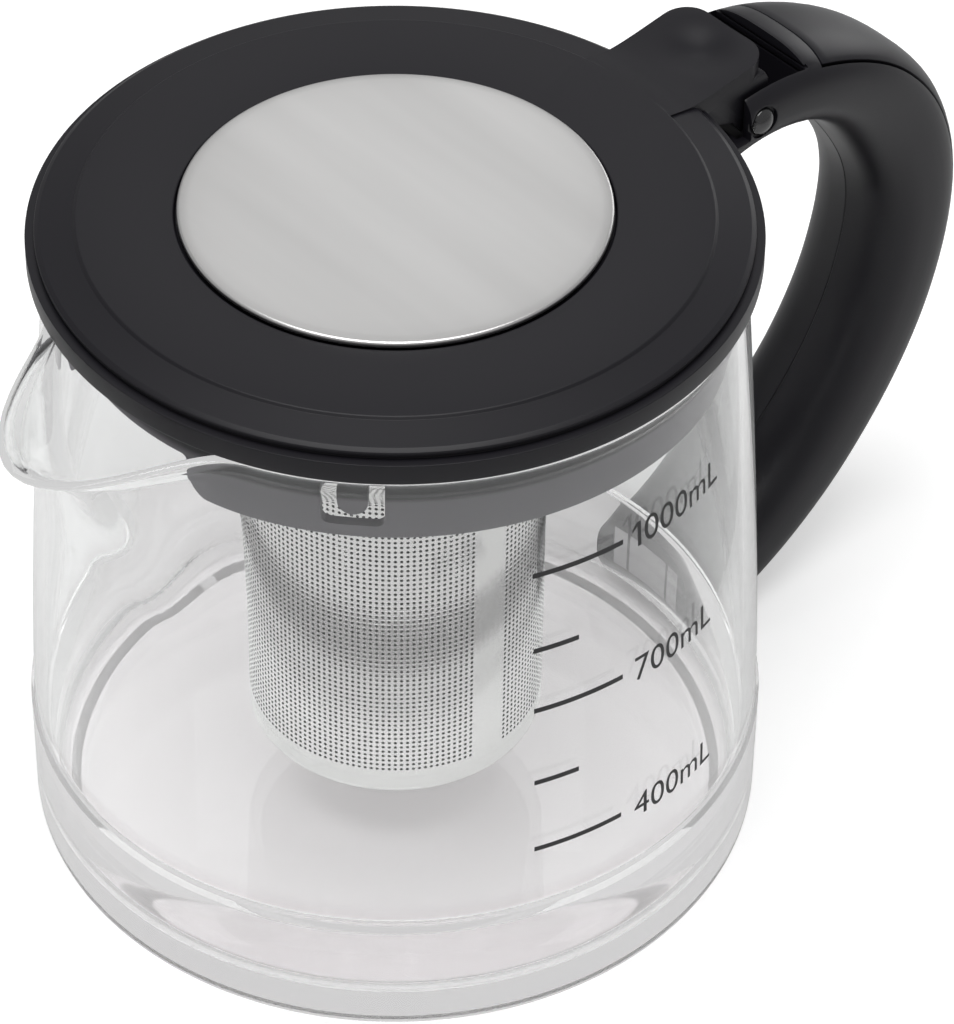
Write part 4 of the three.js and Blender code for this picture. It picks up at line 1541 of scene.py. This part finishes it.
def screw_shape(name: str, head: float, head_height: float, shank: float, length: float) -> bpy.types.Object:
    """A screw along +Z with a crossed drive in its head, the head's face at zero.

    Args:
        name: Name of the screw.
        head: Radius of the head.
        head_height: Height of the head.
        shank: Radius of the shank.
        length: Length below the head.

    Returns:
        The screw.
    """
    screw = Bench.turned(name, rounded([
        (0, 0, 0), (head, 0, 0.4), (head, head_height, 0), (shank, head_height, 0), (shank, head_height + length, 0.3),
        (0, head_height + length, 0)], 3), 32)
    half, wide = head * 0.62, head * 0.14
    Bench.combine(screw, Join.CUT, Bench.block("slot", (-half, -wide, -1), (half, wide, 0.75)),
                  Bench.block("slot", (-wide, -half, -1), (wide, half, 0.75)))
    Bench.smooth(screw, 35)
    return screw


@dataclass
class LoopHandle:
    """The loop handle: a moulded body with pocket and cheeks, its cover and the hinge pin."""

    jug: GlassJug
    line: tuple[tuple[float, float], ...] = (
        (56.0, 112.0), (60.0, 113.5), (68.2, 115.4), (76.4, 115.4), (84.5, 113.6), (92.1, 110.1), (99.1, 105.2),
        (105.0, 99.1), (109.8, 92.2), (113.1, 84.6), (114.7, 76.5), (114.6, 68.1), (113.2, 59.8), (110.8, 51.8),
        (107.4, 44.2), (103.1, 37.0), (98.0, 30.4), (92.2, 24.4), (85.6, 19.2), (78.5, 14.8), (70.9, 11.2),
        (64.0, 9.0), (58.5, 7.8),
    )
    head: tuple[float, float] = (7.5, 13.2)
    grip: tuple[float, float] = (10.0, 11.7)
    foot: tuple[float, float] = (9.2, 13.2)
    power: float = 2.74
    cover_start: float = 0.155
    cover_end: float = 0.93
    cover_share: float = 0.868
    seam: float = 0.42
    pocket: tuple[float, float] = (65.2, 80.6)
    pocket_half: float = 11.05
    pocket_floor: float = 110.4
    cheek_front: float = 66.4
    cheek_floor: float = 113.0
    wall_top: float = 115.0
    wall_half: float = 6.0
    grooves: tuple[tuple[float, float], ...] = ((118.4, 119.0), (120.0, 120.5))
    groove_depth: float = 0.6
    channel: float = 2.7
    cover_sheet: float = 2.1
    clearance: float = 0.3
    pin: tuple[float, float] = HINGE
    pin_radius: float = 1.5
    pin_head: float = 2.5
    pin_dome: float = 1.4
    pin_face: float = 12.3
    pin_end: float = 14.1
    foot_low: float = 3.0
    edge: float = 0.22
    cover_edge: float = 0.25
    cover_inset: float = 0.25
    grip_rise: tuple[float, float] = (0.14, 0.36)
    foot_rise: tuple[float, float] = (0.68, 1.0)
    section_steps: int = 14
    side_end: float = 0.93
    curve_steps: int = 8
    station_count: int = 72
    station_gap: float = 0.004
    stations: list[tuple[float, Vector, float]] = field(default_factory=list)
    total: float = 0.0

    def __post_init__(self) -> None:
        """Run a smooth curve through the centre line and note its stations."""
        points = [Vector(point) for point in self.line]
        fine: list[Vector] = []
        for index in range(len(points) - 1):
            before = points[max(0, index - 1)]
            here, there = points[index], points[index + 1]
            after = points[min(len(points) - 1, index + 2)]
            for step in range(self.curve_steps):
                t = step / self.curve_steps
                fine.append(0.5 * (2 * here + (there - before) * t + (2 * before - 5 * here + 4 * there - after) * t * t
                                   + (3 * here - before - 3 * there + after) * t ** 3))
        fine.append(points[-1])
        lengths = [0.0]
        for here, there in zip(fine, fine[1:]):
            lengths.append(lengths[-1] + (there - here).length)
        self.total = lengths[-1]
        gap = self.seam / self.total
        marks = [index / self.station_count for index in range(self.station_count + 1)]
        edges = [self.cover_start, self.cover_start + gap, self.cover_end - gap, self.cover_end]
        clear = [mark for mark in marks if all(abs(mark - edge) > self.station_gap for edge in edges)]
        for mark in sorted(clear + edges):
            want = mark * self.total
            index = max(i for i in range(len(fine) - 1) if lengths[i] <= want + 1e-9)
            share = (want - lengths[index]) / (lengths[index + 1] - lengths[index])
            centre = fine[index].lerp(fine[index + 1], min(1.0, share))
            low, high = fine[max(0, index - 1)], fine[min(len(fine) - 1, index + 2)]
            tangent = high - low
            self.stations.append((mark, centre, math.atan2(tangent.y, tangent.x)))

    def half_size(self, place: float) -> tuple[float, float]:
        """Half sizes of the section.

        Args:
            place: Place along the handle, from 0 to 1.

        Returns:
            Half thickness and half width in millimetres.
        """
        to_grip = smoothstep(place, *self.grip_rise)
        to_foot = smoothstep(place, *self.foot_rise)
        return tuple(h + (g - h) * to_grip + (f - g) * to_foot for h, g, f in zip(self.head, self.grip, self.foot))

    def ring(self, cover_only: bool = False) -> list[tuple[float, float]]:
        """Section of the handle for unit half sizes, as (outwards, sideways) points.

        Args:
            cover_only: True for the narrower ring that the cover's edges need.

        Returns:
            Points round the section, starting on the outer side.
        """
        def at(angle: float) -> tuple[float, float]:
            c, s = math.cos(angle), math.sin(angle)
            exponent = 2 / self.power
            return math.copysign(abs(c) ** exponent, c), math.copysign(abs(s) ** exponent, s)

        share = self.cover_share - (self.seam / self.grip[1] if cover_only else 0)
        opening = math.asin(share ** (self.power / 2))
        steps = self.section_steps
        outer = [at(opening * (2 * step / steps - 1)) for step in range(steps + 1)]
        side = [at(opening + (math.pi * self.side_end - opening) * step / steps) for step in range(1, steps + 1)]
        notch = [(-0.999, 0.016), (-0.978, 0.0), (-0.999, -0.016)]
        return [*outer, *side, *notch, *[(out, -across) for out, across in reversed(side)]]

    def sweep(self, name: str, ring: Sequence[tuple[float, float]]) -> bpy.types.Object:
        """Grow the handle ring by ring: extrude, resize in the plane and turn to the curve.

        Args:
            name: Name of the piece.
            ring: Section for unit half sizes.

        Returns:
            The swept solid.
        """
        place, centre, heading = self.stations[0]
        thick, wide = self.half_size(place)
        bpy.ops.mesh.primitive_circle_add(vertices=len(ring), radius=MM, fill_type="NGON")
        piece = Bench.begin(name)
        for vertex, (out, across) in zip(piece.data.vertices, ring):
            vertex.co = Vector((centre.x, across * wide, centre.y + out * thick)) * MM
        with Bench.editing(piece, Pick.FACES):
            self.turn(centre, heading)
            for place, there, angle in self.stations[1:]:
                step = there - centre
                Bench.extrude((step.x, 0, step.y))
                self.turn(there, -heading)
                new_thick, new_wide = self.half_size(place)
                bpy.ops.transform.resize(value=(1, new_wide / wide, new_thick / thick),
                                         center_override=(there.x * MM, 0, there.y * MM))
                self.turn(there, angle)
                centre, heading, thick, wide = there, angle, new_thick, new_wide
            Bench.tidy_open()
        return piece

    @staticmethod
    def turn(centre: Vector, angle: float) -> None:
        """Turn the selection about the Y axis through a place on the centre line."""
        if abs(angle) > 1e-9:
            bpy.ops.transform.rotate(value=angle, orient_axis="Y", center_override=(centre.x * MM, 0, centre.y * MM))

    def local(self, point: Vector) -> tuple[float, float, float]:
        """Place along the handle, and distances outwards and sideways from the centre line.

        Args:
            point: Place in millimetres.

        Returns:
            Place from 0 to 1, outwards distance and sideways distance.
        """
        flat = Vector((point.x, point.z))
        index = min(range(len(self.stations)), key=lambda i: (self.stations[i][1] - flat).length)
        place, centre, heading = self.stations[index]
        along = (flat - centre).dot(Vector((math.cos(heading), math.sin(heading))))
        out = (flat - centre).dot(Vector((-math.sin(heading), math.cos(heading))))
        return place + along / self.total, out, point.y

    def in_cover(self, point: Vector, inset: float = 0.0) -> bool:
        """True where a surface point belongs to the cover.

        Args:
            point: Place in millimetres.
            inset: How far inside the seam it must be.

        Returns:
            Whether it does.
        """
        place, out, across = self.local(point)
        wide = self.half_size(place)[1] * self.cover_share - inset
        gap = inset / self.total
        return out > 0 and abs(across) < wide and self.cover_start + gap < place < self.cover_end - gap

    def cutter(self) -> bpy.types.Object:
        """All that the handle's ends must stay clear of: the glass and its clearance.

        Returns:
            The cutter.
        """
        glass, clear = self.jug, self.clearance
        heights = [glass.height * step / 12 for step in range(13)]
        outline = [(0, -5), (glass.base_radius + clear, -5), *[(glass.radius(h) + clear, h) for h in heights],
                   (glass.mouth_radius + clear, 135), (0, 135)]
        return Bench.turned("glass_room", outline)

    def body(self) -> bpy.types.Object:
        """The moulded body: swept loop, channel for the cover, pocket, cheeks and pin bore.

        Returns:
            The body.
        """
        body = self.sweep("handle_body_moulded", self.ring())
        Bench.pick_faces(body, lambda face: self.in_cover(face.center / MM))
        with Bench.editing(body, Pick.FACES, whole=False):
            bpy.ops.mesh.extrude_region_shrink_fatten(TRANSFORM_OT_shrink_fatten={"value": -self.channel * MM})
        half, top, wide = self.pocket_half, 140, 20
        front, back = self.pocket
        x, z = self.pin
        Bench.combine(
            body, Join.CUT,
            self.cutter(),
            Bench.block("underside", (0, -30, -30), (130, 30, self.foot_low)),
            Bench.block("pocket", (front, -half, self.pocket_floor), (back, half, top)),
            *[Bench.block("groove", (back - 1, -half, low), (back + self.groove_depth, half, high))
              for low, high in self.grooves],
            Bench.block("front", (40, -wide, self.wall_top), (self.cheek_front, wide, top)),
            Bench.block("front_left", (40, -wide, self.cheek_floor), (self.cheek_front, -self.wall_half, top)),
            Bench.block("front_right", (40, self.wall_half, self.cheek_floor), (self.cheek_front, wide, top)),
            Bench.rod("bore", HINGE_BORE, (x, -20, z), (x, 20, z), 32),
            *[Bench.rod("recess", self.pin_head + 0.5, (x, side * self.pin_face, z), (x, side * 20, z), 40)
              for side in (-1, 1)],
        )
        Bench.soften(body, self.edge, 2, 55)
        Bench.smooth(body, 35)
        return fit(body, HANDLE_PLASTIC, Body.JUG, Slot.PLASTIC, "handle_body")

    def cover(self) -> bpy.types.Object:
        """The cover strip: the outer faces of the same loop, thickened inwards, with rounded edges.

        Returns:
            The cover.
        """
        cover = self.sweep("handle_cover_moulded", self.ring(cover_only=True))
        Bench.pick_faces(cover, lambda face: not self.in_cover(face.center / MM, self.cover_inset))
        with Bench.editing(cover, Pick.FACES, whole=False):
            bpy.ops.mesh.delete(type="FACE")
        Bench.apply(cover, "SOLIDIFY", thickness=self.cover_sheet * MM, offset=-1.0)
        Bench.soften(cover, self.cover_edge, 2, 60)
        Bench.smooth(cover, 35)
        return fit(cover, HANDLE_PLASTIC, Body.JUG, Slot.PLASTIC, "handle_cover")

    def hinge_pin(self) -> bpy.types.Object:
        """The pin with a domed head outside each cheek.

        Returns:
            The pin.
        """
        face, end, head = self.pin_face + 0.1, self.pin_end, self.pin_head
        dome = (head ** 2 + self.pin_dome ** 2) / (2 * self.pin_dome)
        tilt = math.degrees(math.asin(head / dome))
        half = [(self.pin_radius, 0), (self.pin_radius, face), (head - 0.15, face), (head, face + 0.15),
                *arc((0, end - dome), dome, 90 - tilt, 90, 10)]
        half[-1] = (0.0, end)
        outline = [*[(radius, -z) for radius, z in reversed(half[1:])], *half[1:]]
        pin = Bench.turned("hinge_pin_turned", outline, 48)
        pin.matrix_world = (Matrix.Translation(Vector((self.pin[0], 0, self.pin[1])) * MM)
                            @ Matrix.Rotation(math.pi / 2, 4, "X"))
        Bench.settle(pin)
        Bench.smooth(pin, 40)
        finish = BlackPlastic("Pin", (0.016, 0.016, 0.017), gloss=0.16, level=0.8, grain=0.0)
        return fit(pin, finish, Body.JUG, Slot.PIN, "hinge_pin")

    def mount(self) -> None:
        """Build and fit every piece of the handle."""
        self.body()
        self.cover()
        self.hinge_pin()


@dataclass(frozen=True)
class Studio:
    """Pale floor, soft light and the camera at the photograph's place."""

    eye: Place = (-377.62, -445.27, 581.4)
    heading: float = 48.35255
    pitch: float = 41.7686
    roll: float = 0.90665
    lens: float = 163.26
    sensor: float = 36.0
    clip: tuple[float, float] = (0.02, 20.0)
    world: float = 0.4
    world_through_glass: float = 0.97
    floor_size: float = 6.0
    floor_tone: Colour = (0.82, 0.82, 0.82)
    floor_glow: float = 0.4
    aim: Place = (0, 0, 60)
    lamps: tuple[tuple[str, Place, float, float], ...] = (
        ("top_light", (-100, -60, 1000), 700, 7),
        ("back_light", (620, 740, 850), 420, 0.4),
        ("side_light", (1000, 300, 330), 450, 1.1),
    )

    def camera(self) -> None:
        """Put the camera where the photograph was taken."""
        data = bpy.data.cameras.new("photo_view")
        data.lens = self.lens
        data.sensor_width = self.sensor
        data.clip_start, data.clip_end = self.clip
        camera = bpy.data.objects.new("photo_view", data)
        bpy.context.scene.collection.objects.link(camera)
        turn = (Matrix.Rotation(math.radians(self.heading - 90), 4, "Z")
                @ Matrix.Rotation(math.radians(90 - self.pitch), 4, "X")
                @ Matrix.Rotation(math.radians(self.roll), 4, "Z"))
        camera.matrix_world = Matrix.Translation(Vector(self.eye) * MM) @ turn
        bpy.context.scene.camera = camera

    def backdrop(self) -> None:
        """Lay the floor, which looks white to the camera and keeps the jug's soft shadow."""
        bpy.ops.mesh.primitive_plane_add(size=self.floor_size)
        floor = Bench.begin("floor")
        material = bpy.data.materials.new("PaleFloor")
        material.use_nodes = True
        tree = material.node_tree
        ray = tree.nodes.new("ShaderNodeLightPath").outputs
        Shading.feed(tree, tree.nodes["Principled BSDF"], {
            "Base Color": (*self.floor_tone, 1),
            "Roughness": 0.9,
            "Specular IOR Level": 0.1,
            "Emission Color": (1, 1, 1, 1),
            "Emission Strength": Shading.reckon(tree, "MULTIPLY", ray["Is Camera Ray"], self.floor_glow),
        })
        floor.data.materials.append(material)

    def surroundings(self) -> None:
        """Set the even pale light of the room, white where it is seen directly."""
        world = bpy.data.worlds.new("studio")
        bpy.context.scene.world = world
        world.use_nodes = True
        tree = world.node_tree
        ray = tree.nodes.new("ShaderNodeLightPath").outputs
        strength: Feed = self.world
        for output, value in (("Is Transmission Ray", self.world_through_glass), ("Is Camera Ray", 1.0)):
            level = Shading.node(tree, "MapRange", {"Value": ray[output], "To Min": strength, "To Max": value})
            strength = level.outputs["Result"]
        Shading.feed(tree, tree.nodes["Background"], {"Color": (1, 1, 1, 1), "Strength": strength})

    def lamp(self, name: str, place: Place, size: float, power: float) -> None:
        """Hang a soft square lamp that points at the jug.

        Args:
            name: Name of the lamp.
            place: Place in millimetres.
            size: Side of the lamp in millimetres.
            power: Power in watts.
        """
        data = bpy.data.lights.new(name, "AREA")
        data.shape = "SQUARE"
        data.size = size * MM
        data.energy = power
        lamp = bpy.data.objects.new(name, data)
        bpy.context.scene.collection.objects.link(lamp)
        lamp.location = Vector(place) * MM
        lamp.rotation_euler = (Vector(place) - Vector(self.aim)).to_track_quat("Z", "Y").to_euler()

    def light(self) -> None:
        """Light the jug from above, faintly from behind and from the handle's side."""
        for name, place, size, power in self.lamps:
            self.lamp(name, place, size, power)
        bpy.context.scene.view_settings.view_transform = "Standard"


def dress_kept_nodes() -> None:
    """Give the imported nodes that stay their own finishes."""
    plain: dict[str, Finish] = {Slot.BOND.value: CuredBond(), Slot.SCREW.value: SCREW_STEEL}
    slots = {entry["node"]: entry["material_slot"] for entry in FRAME["record"]["subparts"]}
    for name, node in FRAME["nodes"].items():
        finish = plain.get(slots[name])
        if finish is not None and not node.hide_render:
            for slot in node.material_slots:
                slot.material = finish.material()


def main() -> None:
    """Build the jug, its lid, handle, ring and basket, and the studio round them."""
    studio = Studio()
    studio.camera()
    studio.backdrop()
    studio.surroundings()
    studio.light()
    jug = GlassJug()
    jug.blow()
    VolumeMarks(jug).print_all()
    CarrierRing().mould()
    TeaBasket().hang()
    HingedLid().close()
    LoopHandle(jug).mount()
    dress_kept_nodes()


if __name__ == "__main__":
    logging.basicConfig(level=logging.INFO, format="%(message)s")
    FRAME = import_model()
    main()
